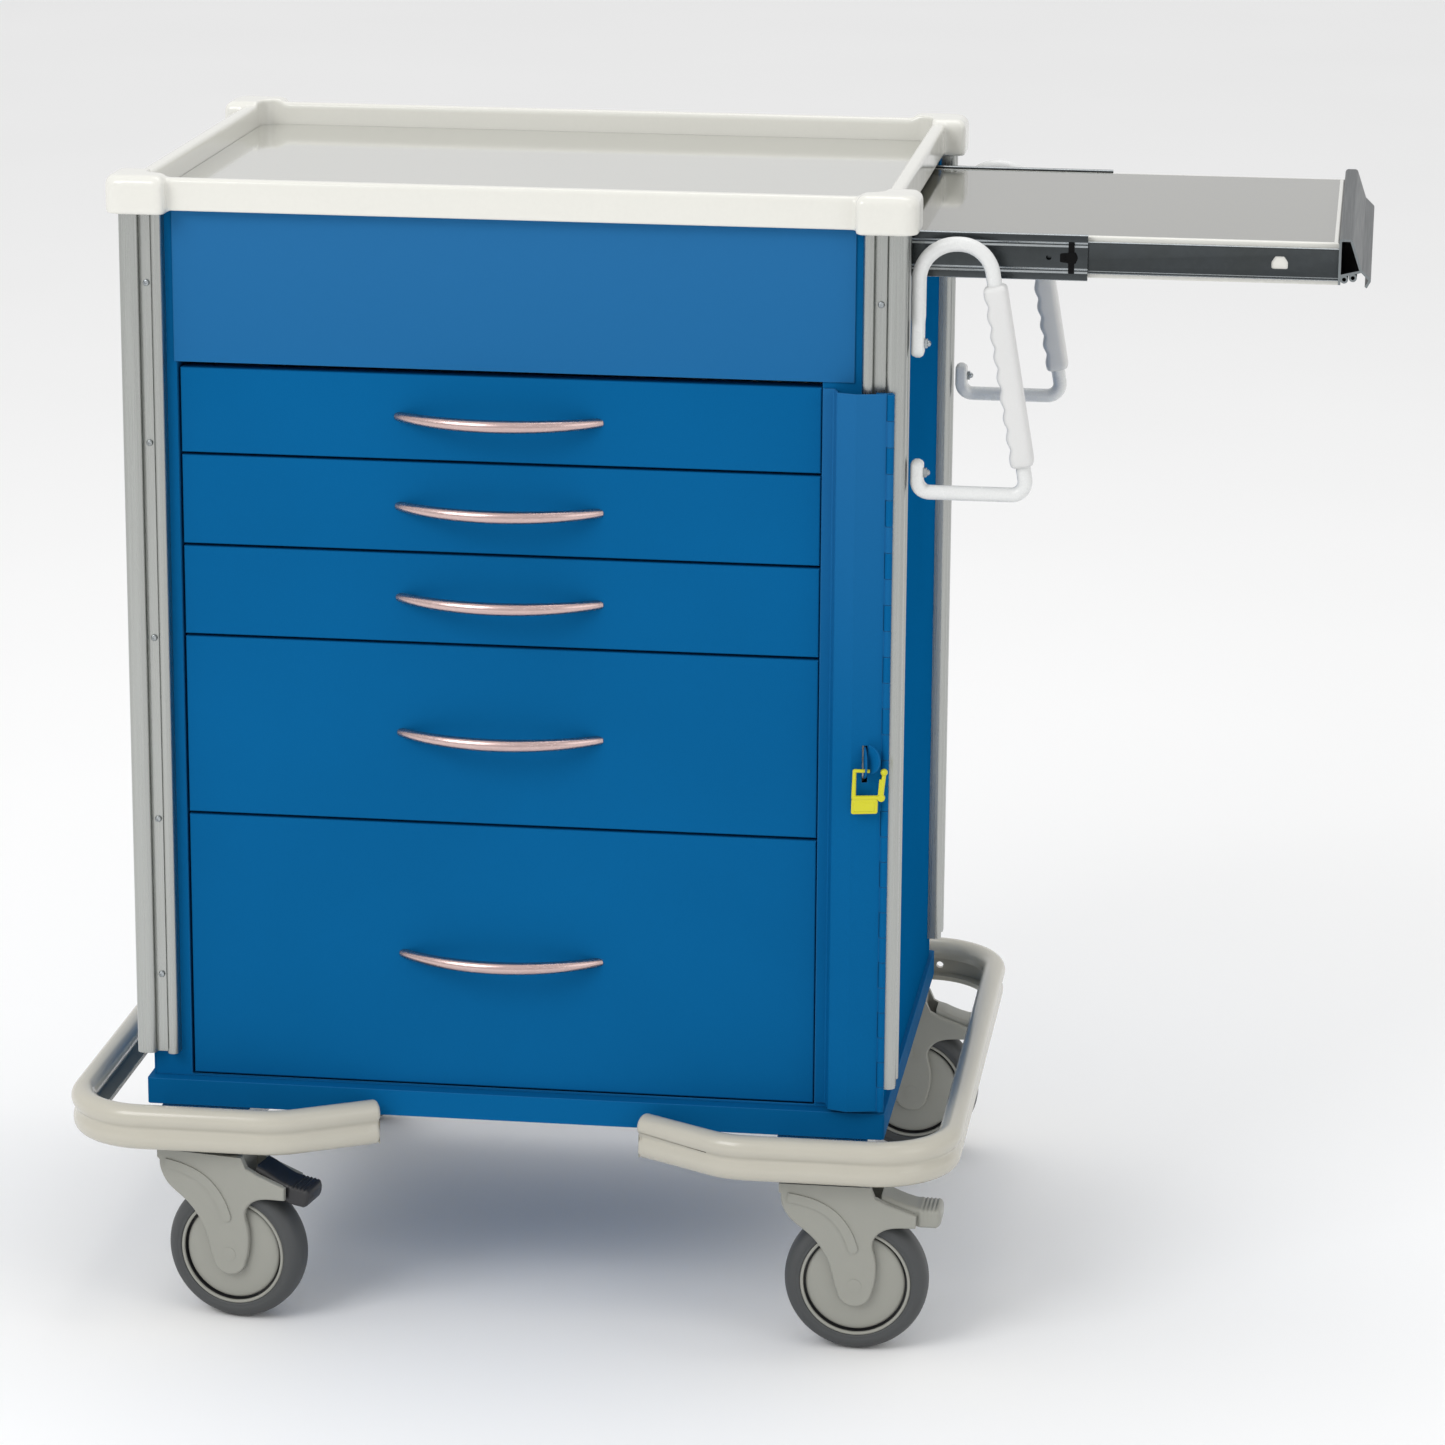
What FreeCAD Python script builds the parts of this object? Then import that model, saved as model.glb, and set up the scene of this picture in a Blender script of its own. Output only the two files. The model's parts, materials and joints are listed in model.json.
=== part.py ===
"""Five-drawer medication cart: steel cabinet on four swivel casters, aluminium corner
posts, tray top, side pull-out shelf, lock bar, push handles and a wrap-around bumper.

Millimetres, +Z up. X runs along the cart's width, the drawers open towards -Y and the
shelf slides out towards +X. All parts are drawn in the cabinet's own frame (X = 0 and
Y = 0 at the cabinet's centre, Z = 0 on the floor) and moved together at the end, so that
the origin lies under the middle of the whole cart with its shelf pulled out.
"""
import FreeCAD, Part
import math
import os

V = FreeCAD.Vector
ALONG_X, ALONG_Y, ALONG_Z = V(1, 0, 0), V(0, 1, 0), V(0, 0, 1)

# ---- cabinet --------------------------------------------------------------------------
SHEET = 1.5                    # folded steel sheet
SIDE_X = 308.0                 # outer face of a side panel
FACE_Y = -216.5                # front plane of the cabinet and of the drawer fronts
REAR_Y = -FACE_Y               # outer face of the back panel
BODY_BOTTOM = 196.5
BODY_TOP = 932.7
OPENING_LEFT = -275.3
OPENING_RIGHT = 252.0
OPENING_BOTTOM = 198.5
UNIT = 76.2                    # height of the smallest drawer, with its share of the gap
DRAWER_UNITS = (1, 1, 1, 2, 3)  # from the top down
OPENING_TOP = OPENING_BOTTOM + UNIT * sum(DRAWER_UNITS)
HEADER_HALF_WIDTH = 277.8

# ---- base and corner posts ------------------------------------------------------------
BASE_X = 311.7
BASE_Y = 228.5
BASE_BOTTOM = 174.0
POST_X = 320.0                 # outer side face of a post
POST_Y = 228.5                 # outer front face of a post
POST_LEG = 36.0
POST_BOTTOM = 218.5
POST_TOP = 930.5
POST_PORT = 3.4           # radius of the screw port along a post's corner lobe
POST_PORT_INSET = 7.5
POST_CORNER = 6.0              # rounding of a post's outer corner
LOBE_ROUND = 2.2
CHANNEL_START = 17.1           # screw channel, measured from the post's outer corner
CHANNEL_END = 25.8
CHANNEL_DEPTH = 7.5
SCREW_HEIGHTS = (286.6, 421.8, 576.9, 740.7, 872.7)
SIDE_SCREW_HEIGHTS = (286.6, 576.9)
SCREW_RADIUS = 2.7
SCREW_HEAD = 2.0
SOCKET_RADIUS = 1.2
PANEL_LAP = 2.0                # how far inner sheets stay inside the side panels' faces

# ---- tray top -------------------------------------------------------------------------
TRAY_X = 310.8
TRAY_Y = 228.3
TRAY_TOP = 959.0
TRAY_FLOOR = 939.0
TRAY_WALL = 12.0
TRAY_SKIN = 3.0
CAP_X = 328.5                  # outer faces of the corner caps
CAP_Y = 241.0
CAP_LENGTH = 50.0
CAP_TOP = 962.0
CAP_CORNER = 13.0
CAP_ROUND = 8.0
RIM_ROUND = 3.5
POCKET_CORNER = 14.0

# ---- telescopic slides ----------------------------------------------------------------
SLIDE_WIDTH = 12.7
SLIDE_GAUGE = 1.2
# member: (web, flange, half height), the first two measured from the fixed wall
SLIDE_SECTIONS = {
    "outer": ((0.0, 1.2), (0.0, 9.0), 22.8),
    "middle": ((5.0, 6.2), (2.4, 10.2), 18.5),
    "inner": ((11.5, 12.7), (8.2, 12.7), 13.0),
}

# ---- drawers --------------------------------------------------------------------------
DRAWER_GAP = 2.5               # visible gap between two fronts
TOP_GAP = 5.0                  # larger gap under the header
FRONT_THICKNESS = 18.0
FRONT_RIGHT = OPENING_RIGHT - 0.8
FRONT_LEFT = OPENING_LEFT + 2.2
BOX_REAR = 190.0
BOX_HEADROOM = 16.0            # a box is this much lower than its front
DRAWER_SLIDE_REAR = 204.0
PULL_CHORD = 162.0
PULL_RISE = 28.0
PULL_RADIUS = 4.6

# ---- side shelf, drawn pulled out -----------------------------------------------------
SHELF_LEFT = 285.0
SHELF_RIGHT = 657.0
SHELF_Y = 168.0
SHELF_BOTTOM = 890.0
SHELF_TOP = 923.5
SHELF_WALL = 3.5
SHELF_RIM = 4.0
SURFACE = 1.0
SHELF_TRAVEL = 345.0
SHELF_SLIDE = 350.0            # length of each slide member
SHELF_OUTER_END = 286.0        # where the fixed members end, just inside the side panel
PULL_BAR_LINE = ((1.0, 893.0), (1.0, 928.6), (9.5, 928.6), (17.5, 905.0), (25.3, 897.5), (22.0, 891.5))
PULL_BAR_FLOOR = ((1.0, 900.0), (17.5, 904.0))
PULL_BAR_PORTS = ((4.8, 897.5), (11.6, 898.9))
PULL_BAR_WALL = 2.0
PULL_BAR_FOLD = 1.8
PORT_OUTER = 3.2
PORT_INNER = 1.6
PULL_BAR_Y = 185.6
SLOT_Y = 184.0
SLOT_BOTTOM = 886.0

# ---- lock bar -------------------------------------------------------------------------
HINGE_X = 308.6
HINGE_Y = -233.1
PIN_RADIUS = 1.5
KNUCKLE_RADIUS = 3.0
RUNNING = 0.05                 # radial play of every shaft in its hole
BAR_BOTTOM = 201.0
BAR_TOP = 803.0
KNUCKLE_PITCH = 21.5
KNUCKLE_PLAY = 0.4
BAR_LINE = ((252.8, -217.9), (262.0, -217.9), (266.0, -233.5), (281.0, -238.5), (306.2, -233.1))
SEAL_Z = 496.0

# ---- push handles ---------------------------------------------------------------------
HANDLE_Y = 207.0
TUBE_RADIUS = 6.0
LOOP_RADIUS = 30.0
LOOP_LEFT = 327.0
LOOP_CENTRE_Z = 890.5
CORNER_BEND = 10.0
TUBE_END_Z = 850.0
UPPER_PAD = (828.0, 858.0)     # heights of the flattened pads against the post
LOWER_PAD = (728.0, 746.0)
PAD_HALF_WIDTH = 8.0
PAD_ROUND = 3.5
UPPER_BOLT_Z = 840.0
LOWER_BOLT_Z = 735.0
WASHER_RADIUS = 5.0
WASHER_THICKNESS = 1.2
NUT_RADIUS = 3.6
NUT_HEIGHT = 3.0
DOME_RADIUS = 2.4
DOME_HEIGHT = 2.0
GRIP_HALF_WIDTH = 9.5
GRIP_HALF_DEPTH = 10.5
GRIP_WAVES = 8
GRIP_DIP = 1.6
GRIP_ROUND = 5.0
GRIP_TOP_Z = 888.0
GRIP_BOTTOM_Z = 743.0
HANDLE_OUTER_X = 417.0
HANDLE_BOTTOM_Z = 719.0

# ---- bumper ---------------------------------------------------------------------------
BUMPER_X = 367.0               # line of the bead
BUMPER_Y = 283.3
BUMPER_BOTTOM = 153.5
BUMPER_CORNER = 62.0
BUMPER_TIP = (112.0, -240.0)
BUMPER_BEND_X = 188.0
BUMPER_HOLE_X = 312.0          # the rear bracket holes
BUMPER_HOLE = 3.2

# ---- casters, about their swivel axis -------------------------------------------------
CASTER_X = 261.0
CASTER_Y = 247.0
WHEEL_RADIUS = 60.0
TRAIL = 32.0
RAIL_BOTTOM = 148.5
RAIL_HALF_WIDTH = 37.5
FORK_TOP = 146.5
FORK_HALF_WIDTH = 22.0
FORK_INNER = 17.2
AXLE_RADIUS = 6.0
KINGPIN_RADIUS = 8.0
PEDAL_PIVOT = (60.0, 120.0)
RACE_RADIUS = 20.0
PEDAL_PIN = 3.0
PEDAL_HALF_WIDTH = 15.4
RIB_HEIGHT = 1.3               # how far the fork's ribs stand out
RIB_HALF_WIDTH = 4.0
RIB_STEPS = 22
CASTERS = {                    # side, end, resting turn in degrees
    "front_left": (-1, -1, -10.0),
    "front_right": (1, -1, 0.0),
    "rear_left": (-1, 1, 0.0),
    "rear_right": (1, 1, 0.0),
}

# The whole cart spans from the bumper's left side to the shelf's pull.
BUMPER_BEAD = 10.0
PULL_REACH = 26.5
SPAN_LEFT = -(BUMPER_X + BUMPER_BEAD)
SPAN_RIGHT = SHELF_RIGHT + PULL_REACH
ORIGIN = V((SPAN_LEFT + SPAN_RIGHT) / 2, 0, 0)

nodes = {}


# ---- helpers --------------------------------------------------------------------------
def box(x0, x1, y0, y1, z0, z1):
    return Part.makeBox(x1 - x0, y1 - y0, z1 - z0, V(x0, y0, z0))


def rod(start, direction, radius, length):
    return Part.makeCylinder(radius, length, start, direction)


def merge(shapes):
    whole = shapes[0]
    for shape in shapes[1:]:
        whole = whole.fuse(shape)
    return whole.removeSplitter()


def prism(points, sweep):
    """A closed outline of 3-D points swept by a vector."""
    corners = [V(*p) for p in points]
    return Part.Face(Part.makePolygon(corners + corners[:1])).extrude(sweep)


def runs_along(edge, direction):
    ends = edge.Vertexes
    if len(ends) < 2 or not isinstance(edge.Curve, Part.Line):
        return False
    return (ends[1].Point - ends[0].Point).cross(direction).Length < 1e-6


def rounded(solid, radius, chosen):
    return solid.makeFillet(radius, [e for e in solid.Edges if chosen(e)])


def mirrored(shape, flip_x, flip_y):
    if flip_x:
        shape = shape.mirror(V(0, 0, 0), ALONG_X)
    if flip_y:
        shape = shape.mirror(V(0, 0, 0), ALONG_Y)
    return shape


def four_corners(shape):
    return [mirrored(shape, fx, fy) for fx in (False, True) for fy in (False, True)]


def softened(points, radius, steps=5):
    """A 2-D line with each inner corner turned into an arc of short chords."""
    line = [points[0]]
    for before, corner, after in zip(points, points[1:], points[2:]):
        back = V(before[0] - corner[0], before[1] - corner[1], 0).normalize()
        ahead = V(after[0] - corner[0], after[1] - corner[1], 0).normalize()
        half = back.getAngle(ahead) / 2
        centre = V(corner[0], corner[1], 0) + (back + ahead).normalize() * (radius / math.sin(half))
        first = V(corner[0], corner[1], 0) + back * (radius / math.tan(half)) - centre
        last = V(corner[0], corner[1], 0) + ahead * (radius / math.tan(half)) - centre
        turn = math.pi - 2 * half
        for step in range(steps + 1):
            share = step / steps
            arm = first * math.sin((1 - share) * turn) + last * math.sin(share * turn)
            place = centre + arm * (1 / math.sin(turn))
            line.append((place.x, place.y))
    return line + [points[-1]]


def folded(points, thickness):
    """The closed 2-D outline of a folded sheet whose mid-line passes through points."""
    normals = []
    for (x0, y0), (x1, y1) in zip(points, points[1:]):
        length = math.hypot(x1 - x0, y1 - y0)
        normals.append(((y0 - y1) / length, (x1 - x0) / length))
    upper, lower = [], []
    for i, (x, y) in enumerate(points):
        before = normals[max(i - 1, 0)]
        after = normals[min(i, len(normals) - 1)]
        scale = thickness / 2 / (1 + before[0] * after[0] + before[1] * after[1])
        dx = (before[0] + after[0]) * scale
        dy = (before[1] + after[1]) * scale
        upper.append((x + dx, y + dy))
        lower.append((x - dx, y - dy))
    return upper + lower[::-1]


def bent_path(points, bends):
    """Straight runs through points, with a tangent arc of its own radius at each bend."""
    edges = []
    start = points[0]
    for before, corner, after, bend in zip(points, points[1:], points[2:], bends):
        back = (before - corner).normalize()
        ahead = (after - corner).normalize()
        half = back.getAngle(ahead) / 2
        inward = (back + ahead).normalize()
        first = corner + back * (bend / math.tan(half))
        last = corner + ahead * (bend / math.tan(half))
        middle = corner + inward * (bend / math.sin(half) - bend)
        edges.append(Part.LineSegment(start, first).toShape())
        edges.append(Part.Arc(first, middle, last).toShape())
        start = last
    edges.append(Part.LineSegment(start, points[-1]).toShape())
    return Part.Wire(edges)


def tube(points, bends, radius):
    ring = Part.Wire(Part.makeCircle(radius, points[0], points[1] - points[0]))
    return bent_path(points, bends).makePipeShell([ring], True, False)


def slide_member(member, along, wall, inward, centre_z, start, end):
    """One rolled channel of a slide that stands on the plane wall and grows inward."""
    web, flange, half = SLIDE_SECTIONS[member]
    strips = (
        (web, -half, half),
        (flange, half - SLIDE_GAUGE, half),
        (flange, -half, SLIDE_GAUGE - half),
    )
    pieces = []
    for (near, far), low, high in strips:
        a, b = sorted((wall + inward * near, wall + inward * far))
        if along == "y":
            pieces.append(box(a, b, start, end, centre_z + low, centre_z + high))
        else:
            pieces.append(box(start, end, a, b, centre_z + low, centre_z + high))
    return merge(pieces)


def save(name, *shapes):
    nodes[name] = Part.makeCompound([solid for shape in shapes for solid in shape.Solids])


# ---- cabinet --------------------------------------------------------------------------
def side_panels():
    inner = SIDE_X - PANEL_LAP
    left = box(-SIDE_X, -inner, FACE_Y, REAR_Y, BODY_BOTTOM, BODY_TOP)
    right = box(inner, SIDE_X, FACE_Y, REAR_Y, BODY_BOTTOM, BODY_TOP)
    slot = box(inner - 1, SIDE_X + 1, -SLOT_Y, SLOT_Y, SLOT_BOTTOM, BODY_TOP + 1)
    save("left_side_panel", left)
    save("right_side_panel", right.cut(slot))


def back_panel():
    inner = SIDE_X - PANEL_LAP
    save("back_panel", box(-inner, inner, REAR_Y - SHEET, REAR_Y, BODY_BOTTOM, BODY_TOP))


def front_frame():
    """Face sheet with the drawer opening, a liner each side of it and the shelf's rails."""
    inner = SIDE_X - PANEL_LAP
    liner_depth = REAR_Y - SHEET
    face = box(-inner, inner, FACE_Y, FACE_Y + SHEET, BODY_BOTTOM, BODY_TOP)
    opening = box(OPENING_LEFT, OPENING_RIGHT, FACE_Y - 1, 0, OPENING_BOTTOM, OPENING_TOP + SHEET)
    liners = [
        box(OPENING_LEFT - SHEET, OPENING_LEFT, FACE_Y, liner_depth, BODY_BOTTOM, OPENING_TOP),
        box(OPENING_RIGHT, OPENING_RIGHT + SHEET, FACE_Y, liner_depth, BODY_BOTTOM, OPENING_TOP),
    ]
    wall = SHELF_Y + SLIDE_WIDTH
    for sign in (-1, 1):
        a, b = sorted((sign * wall, sign * (wall + SHEET)))
        c, d = sorted((sign * wall, sign * (REAR_Y - SHEET)))
        web = box(-inner, SHELF_OUTER_END, a, b, SHELF_BOTTOM - 8, SHELF_TOP + 8)
        foot = box(-inner, SHELF_OUTER_END, c, d, SHELF_BOTTOM - 8 - SHEET, SHELF_BOTTOM - 8)
        liners.append(web.fuse(foot))
    save("front_frame", merge([face.cut(opening)] + liners))


def header_panel():
    """Cover sheet above the drawers, folded back under its lower edge."""
    front = FACE_Y - SHEET
    sheet = box(-HEADER_HALF_WIDTH, HEADER_HALF_WIDTH, front, FACE_Y, OPENING_TOP, BODY_TOP)
    lip = box(OPENING_LEFT, OPENING_RIGHT, front, FACE_Y + 15, OPENING_TOP, OPENING_TOP + SHEET)
    save("header_panel", merge([sheet, lip]))


def base_pan():
    """Shallow closed skirt under the cabinet, with a ledge around the cabinet's foot."""
    outer = box(-BASE_X, BASE_X, -BASE_Y, BASE_Y, BASE_BOTTOM, BODY_BOTTOM)
    outer = rounded(outer, 3.0, lambda e: runs_along(e, ALONG_Z))
    hollow = box(-BASE_X + SHEET, BASE_X - SHEET, -BASE_Y + SHEET, BASE_Y - SHEET,
                 BASE_BOTTOM + SHEET, BODY_BOTTOM - SHEET)
    window = box(-250, 250, -190, 190, BASE_BOTTOM + SHEET, BODY_BOTTOM + 1)
    save("base_pan", outer.cut(hollow).cut(window))


def corner_posts():
    """Aluminium angle with two round lobes and a screw channel on each outer face."""
    front_leg = box(POST_X - POST_LEG, POST_X, -POST_Y, FACE_Y, POST_BOTTOM, POST_TOP)
    side_leg = box(SIDE_X, POST_X, -POST_Y, -POST_Y + POST_LEG, POST_BOTTOM, POST_TOP)
    post = merge([front_leg, side_leg])
    post = rounded(post, POST_CORNER, lambda e: runs_along(e, ALONG_Z)
                   and e.BoundBox.XMin > POST_X - 1 and e.BoundBox.YMax < 1 - POST_Y)
    front_channel = box(POST_X - CHANNEL_END, POST_X - CHANNEL_START,
                        -POST_Y - 1, -POST_Y + CHANNEL_DEPTH, POST_BOTTOM - 1, POST_TOP + 1)
    side_channel = box(POST_X - CHANNEL_DEPTH, POST_X + 1, -POST_Y + CHANNEL_START,
                       -POST_Y + CHANNEL_END, POST_BOTTOM - 1, POST_TOP + 1)
    post = post.cut(front_channel).cut(side_channel)
    lips = (POST_X - CHANNEL_END, POST_X - CHANNEL_START, POST_X - POST_LEG)
    post = rounded(post, LOBE_ROUND, lambda e: runs_along(e, ALONG_Z)
                   and e.BoundBox.YMax < 1e-3 - POST_Y and e.BoundBox.XMin < POST_X - 7)
    post = rounded(post, LOBE_ROUND, lambda e: runs_along(e, ALONG_Z)
                   and e.BoundBox.XMin > POST_X - 1e-3 and e.BoundBox.YMin > 7 - POST_Y)
    port = rod(V(POST_X - POST_PORT_INSET, -POST_Y + POST_PORT_INSET, POST_BOTTOM - 1), ALONG_Z,
               POST_PORT, POST_TOP - POST_BOTTOM + 2)
    save("corner_posts", *four_corners(post.cut(port)))


def post_screws():
    """Pan-head screws in the channels of the posts' front and side faces."""
    middle = (CHANNEL_START + CHANNEL_END) / 2
    screws = []
    for height in SCREW_HEIGHTS:
        floor_y = -POST_Y + CHANNEL_DEPTH
        front = rod(V(POST_X - middle, floor_y - SCREW_HEAD, height), ALONG_Y, SCREW_RADIUS, SCREW_HEAD)
        socket = rod(V(POST_X - middle, floor_y - SCREW_HEAD - 0.5, height), ALONG_Y, SOCKET_RADIUS, 1.5)
        screws += [mirrored(front.cut(socket), flip, False) for flip in (False, True)]
    for height in SIDE_SCREW_HEIGHTS:
        side = rod(V(POST_X - CHANNEL_DEPTH, -POST_Y + middle, height), ALONG_X, SCREW_RADIUS, SCREW_HEAD)
        screws += four_corners(side)
    save("post_screws", *screws)


# ---- tray top -------------------------------------------------------------------------
def top_tray():
    rim = box(-TRAY_X, TRAY_X, -TRAY_Y, TRAY_Y, BODY_TOP, TRAY_TOP)
    rim = rounded(rim, RIM_ROUND, lambda e: e.BoundBox.ZMin > TRAY_TOP - 1)
    cap = box(CAP_X - CAP_LENGTH, CAP_X, -CAP_Y, CAP_LENGTH - CAP_Y, POST_TOP, CAP_TOP)
    cap = rounded(cap, CAP_CORNER, lambda e: runs_along(e, ALONG_Z)
                  and e.BoundBox.XMin > CAP_X - 1 and e.BoundBox.YMax < 1 - CAP_Y)
    cap = rounded(cap, CAP_ROUND, lambda e: e.BoundBox.ZMin > CAP_TOP - 0.1)
    body = merge([rim] + four_corners(cap))
    pocket = box(TRAY_WALL - TRAY_X, TRAY_X - TRAY_WALL, TRAY_WALL - TRAY_Y, TRAY_Y - TRAY_WALL,
                 TRAY_FLOOR, CAP_TOP + 1)
    pocket = rounded(pocket, POCKET_CORNER, lambda e: runs_along(e, ALONG_Z))
    under = box(TRAY_SKIN - TRAY_X, TRAY_X - TRAY_SKIN, TRAY_SKIN - TRAY_Y, TRAY_Y - TRAY_SKIN,
                POST_TOP - 1, TRAY_FLOOR - TRAY_SKIN)
    keep = box(280.0, CAP_X, -CAP_Y, -188.0, POST_TOP, TRAY_FLOOR)
    for corner in four_corners(keep):
        under = under.cut(corner)
    cabinet = box(-SIDE_X, SIDE_X, FACE_Y, REAR_Y, POST_TOP - 1, BODY_TOP)
    save("top_tray", body.cut(pocket).cut(under).cut(cabinet))
    inset = TRAY_WALL + 0.5
    sheet = box(inset - TRAY_X, TRAY_X - inset, inset - TRAY_Y, TRAY_Y - inset,
                TRAY_FLOOR, TRAY_FLOOR + SURFACE)
    save("top_surface", rounded(sheet, POCKET_CORNER - 0.5, lambda e: runs_along(e, ALONG_Z)))


# ---- drawers --------------------------------------------------------------------------
def drawer_rows():
    """(number, bottom, top) of each drawer front, counted from the top."""
    top = OPENING_TOP - TOP_GAP
    cell_top = OPENING_TOP
    for number, units in enumerate(DRAWER_UNITS, 1):
        cell_bottom = cell_top - units * UNIT
        yield number, cell_bottom + DRAWER_GAP / 2, top
        cell_top = cell_bottom
        top = cell_bottom - DRAWER_GAP / 2


def drawer_pull(centre_x, centre_z):
    """Bow of round rod whose ends meet the drawer's face."""
    bow = (PULL_CHORD ** 2 / 4 + PULL_RISE ** 2) / (2 * PULL_RISE)
    centre = V(centre_x, FACE_Y - PULL_RISE + bow, centre_z)
    half = math.degrees(math.asin(PULL_CHORD / 2 / bow)) + 3.0
    start = math.radians(-90.0 - half)
    place = centre + V(math.cos(start), math.sin(start), 0) * bow
    tangent = V(-math.sin(start), math.cos(start), 0)
    section = Part.Face(Part.Wire(Part.makeCircle(PULL_RADIUS, place, tangent)))
    ring = section.revolve(centre, ALONG_Z, 2 * half)
    return ring.cut(box(centre_x - 150, centre_x + 150, FACE_Y, 0, centre_z - 20, centre_z + 20))


def drawers():
    slide_start = FACE_Y + FRONT_THICKNESS + 2
    box_left = OPENING_LEFT + SLIDE_WIDTH
    box_right = OPENING_RIGHT - SLIDE_WIDTH
    outers = []
    for number, bottom, top in drawer_rows():
        name = "drawer_%d_" % number
        back = FACE_Y + FRONT_THICKNESS
        front = box(FRONT_LEFT, FRONT_RIGHT, FACE_Y, back, bottom, top)
        front = rounded(front, 1.2, lambda e: e.BoundBox.YMax < FACE_Y + 0.1)
        fold = box(FRONT_LEFT + SHEET, FRONT_RIGHT - SHEET, FACE_Y + SHEET, back + 1,
                   bottom + SHEET, top - SHEET)
        save(name + "front", front.cut(fold))
        centre_x = (FRONT_LEFT + FRONT_RIGHT) / 2
        save(name + "handle", drawer_pull(centre_x, (bottom + top) / 2))
        floor = bottom + 6.0
        rim = top - BOX_HEADROOM + 6.0
        shell = box(box_left, box_right, back, BOX_REAR, floor, rim)
        inside = box(box_left + SHEET, box_right - SHEET, back + SHEET, BOX_REAR - SHEET,
                     floor + SHEET, rim + 1)
        centre_z = (floor + rim) / 2
        walls = ((OPENING_LEFT, 1), (OPENING_RIGHT, -1))
        inner = [slide_member("inner", "y", wall, sign, centre_z, slide_start, BOX_REAR)
                 for wall, sign in walls]
        middle = [slide_member("middle", "y", wall, sign, centre_z, slide_start, DRAWER_SLIDE_REAR)
                  for wall, sign in walls]
        outers += [slide_member("outer", "y", wall, sign, centre_z, slide_start, DRAWER_SLIDE_REAR)
                   for wall, sign in walls]
        save(name + "box", shell.cut(inside), *inner)
        save(name + "slide_mid", *middle)
    return outers


# ---- side shelf -----------------------------------------------------------------------
def shelf():
    panel = box(SHELF_LEFT, SHELF_RIGHT, -SHELF_Y, SHELF_Y, SHELF_BOTTOM, SHELF_TOP)
    panel = rounded(panel, 1.5, lambda e: e.BoundBox.ZMin > SHELF_TOP - 0.1)
    recess = box(SHELF_LEFT + SHELF_RIM, SHELF_RIGHT - SHELF_RIM, SHELF_RIM - SHELF_Y,
                 SHELF_Y - SHELF_RIM, SHELF_TOP - SURFACE, SHELF_TOP + 1)
    under = box(SHELF_LEFT + SHELF_WALL, SHELF_RIGHT - SHELF_WALL, SHELF_WALL - SHELF_Y,
                SHELF_Y - SHELF_WALL, SHELF_BOTTOM - 1, SHELF_TOP - SURFACE - SHELF_WALL)
    save("shelf_panel", panel.cut(recess).cut(under))
    save("shelf_surface", box(SHELF_LEFT + SHELF_RIM, SHELF_RIGHT - SHELF_RIM,
                              SHELF_RIM - SHELF_Y, SHELF_Y - SHELF_RIM,
                              SHELF_TOP - SURFACE, SHELF_TOP))
    centre_z = (SHELF_BOTTOM + SHELF_TOP) / 2
    wall = SHELF_Y + SLIDE_WIDTH
    walls = ((-wall, 1), (wall, -1))
    inner = [slide_member("inner", "x", w, s, centre_z, SHELF_RIGHT - SHELF_SLIDE, SHELF_RIGHT)
             for w, s in walls]
    reach = SHELF_OUTER_END + SHELF_TRAVEL / 2
    middle = [slide_member("middle", "x", w, s, centre_z, reach - SHELF_SLIDE, reach)
              for w, s in walls]
    save("shelf_slide_inner", *inner)
    save("shelf_slide_mid", *middle)
    return [slide_member("outer", "x", w, s, centre_z, SHELF_OUTER_END - SHELF_SLIDE, SHELF_OUTER_END)
            for w, s in walls]


def shelf_pull():
    """Dark extrusion across the shelf's end: upright wall, cap, sloping face and curled lip."""
    line = softened(list(PULL_BAR_LINE), PULL_BAR_FOLD)
    outline = [(SHELF_RIGHT + x, -PULL_BAR_Y, z) for x, z in folded(line, PULL_BAR_WALL)]
    pieces = [prism(outline, V(0, 2 * PULL_BAR_Y, 0))]
    outline = [(SHELF_RIGHT + x, -PULL_BAR_Y, z) for x, z in folded(list(PULL_BAR_FLOOR), PULL_BAR_WALL)]
    pieces.append(prism(outline, V(0, 2 * PULL_BAR_Y, 0)))
    for x, z in PULL_BAR_PORTS:
        start = V(SHELF_RIGHT + x, -PULL_BAR_Y, z)
        pieces.append(rod(start, ALONG_Y, PORT_OUTER, 2 * PULL_BAR_Y))
    bar = merge(pieces)
    for x, z in PULL_BAR_PORTS:
        start = V(SHELF_RIGHT + x, -PULL_BAR_Y - 1, z)
        bar = bar.cut(rod(start, ALONG_Y, PORT_INNER, 2 * PULL_BAR_Y + 2))
    save("shelf_pull", bar)


# ---- lock bar -------------------------------------------------------------------------
def knuckles(first, height):
    """Every second knuckle of the continuous hinge, starting with knuckle first."""
    count = int((BAR_TOP - BAR_BOTTOM) / KNUCKLE_PITCH)
    rings = []
    for index in range(first, count, 2):
        low = BAR_BOTTOM + index * KNUCKLE_PITCH + KNUCKLE_PLAY / 2
        ring = rod(V(HINGE_X, HINGE_Y, low), ALONG_Z, KNUCKLE_RADIUS, height)
        bore = rod(V(HINGE_X, HINGE_Y, low - 1), ALONG_Z, PIN_RADIUS + RUNNING, height + 2)
        rings.append((low, ring, bore))
    return rings


def face_point(along, out):
    """A point on the bar's sloping face: along it from the ridge, and out from it."""
    (x0, y0), (x1, y1) = BAR_LINE[3], BAR_LINE[4]
    length = math.hypot(x1 - x0, y1 - y0)
    tx, ty = (x1 - x0) / length, (y1 - y0) / length
    return x0 + tx * along + ty * out, y0 + ty * along - tx * out


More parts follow.
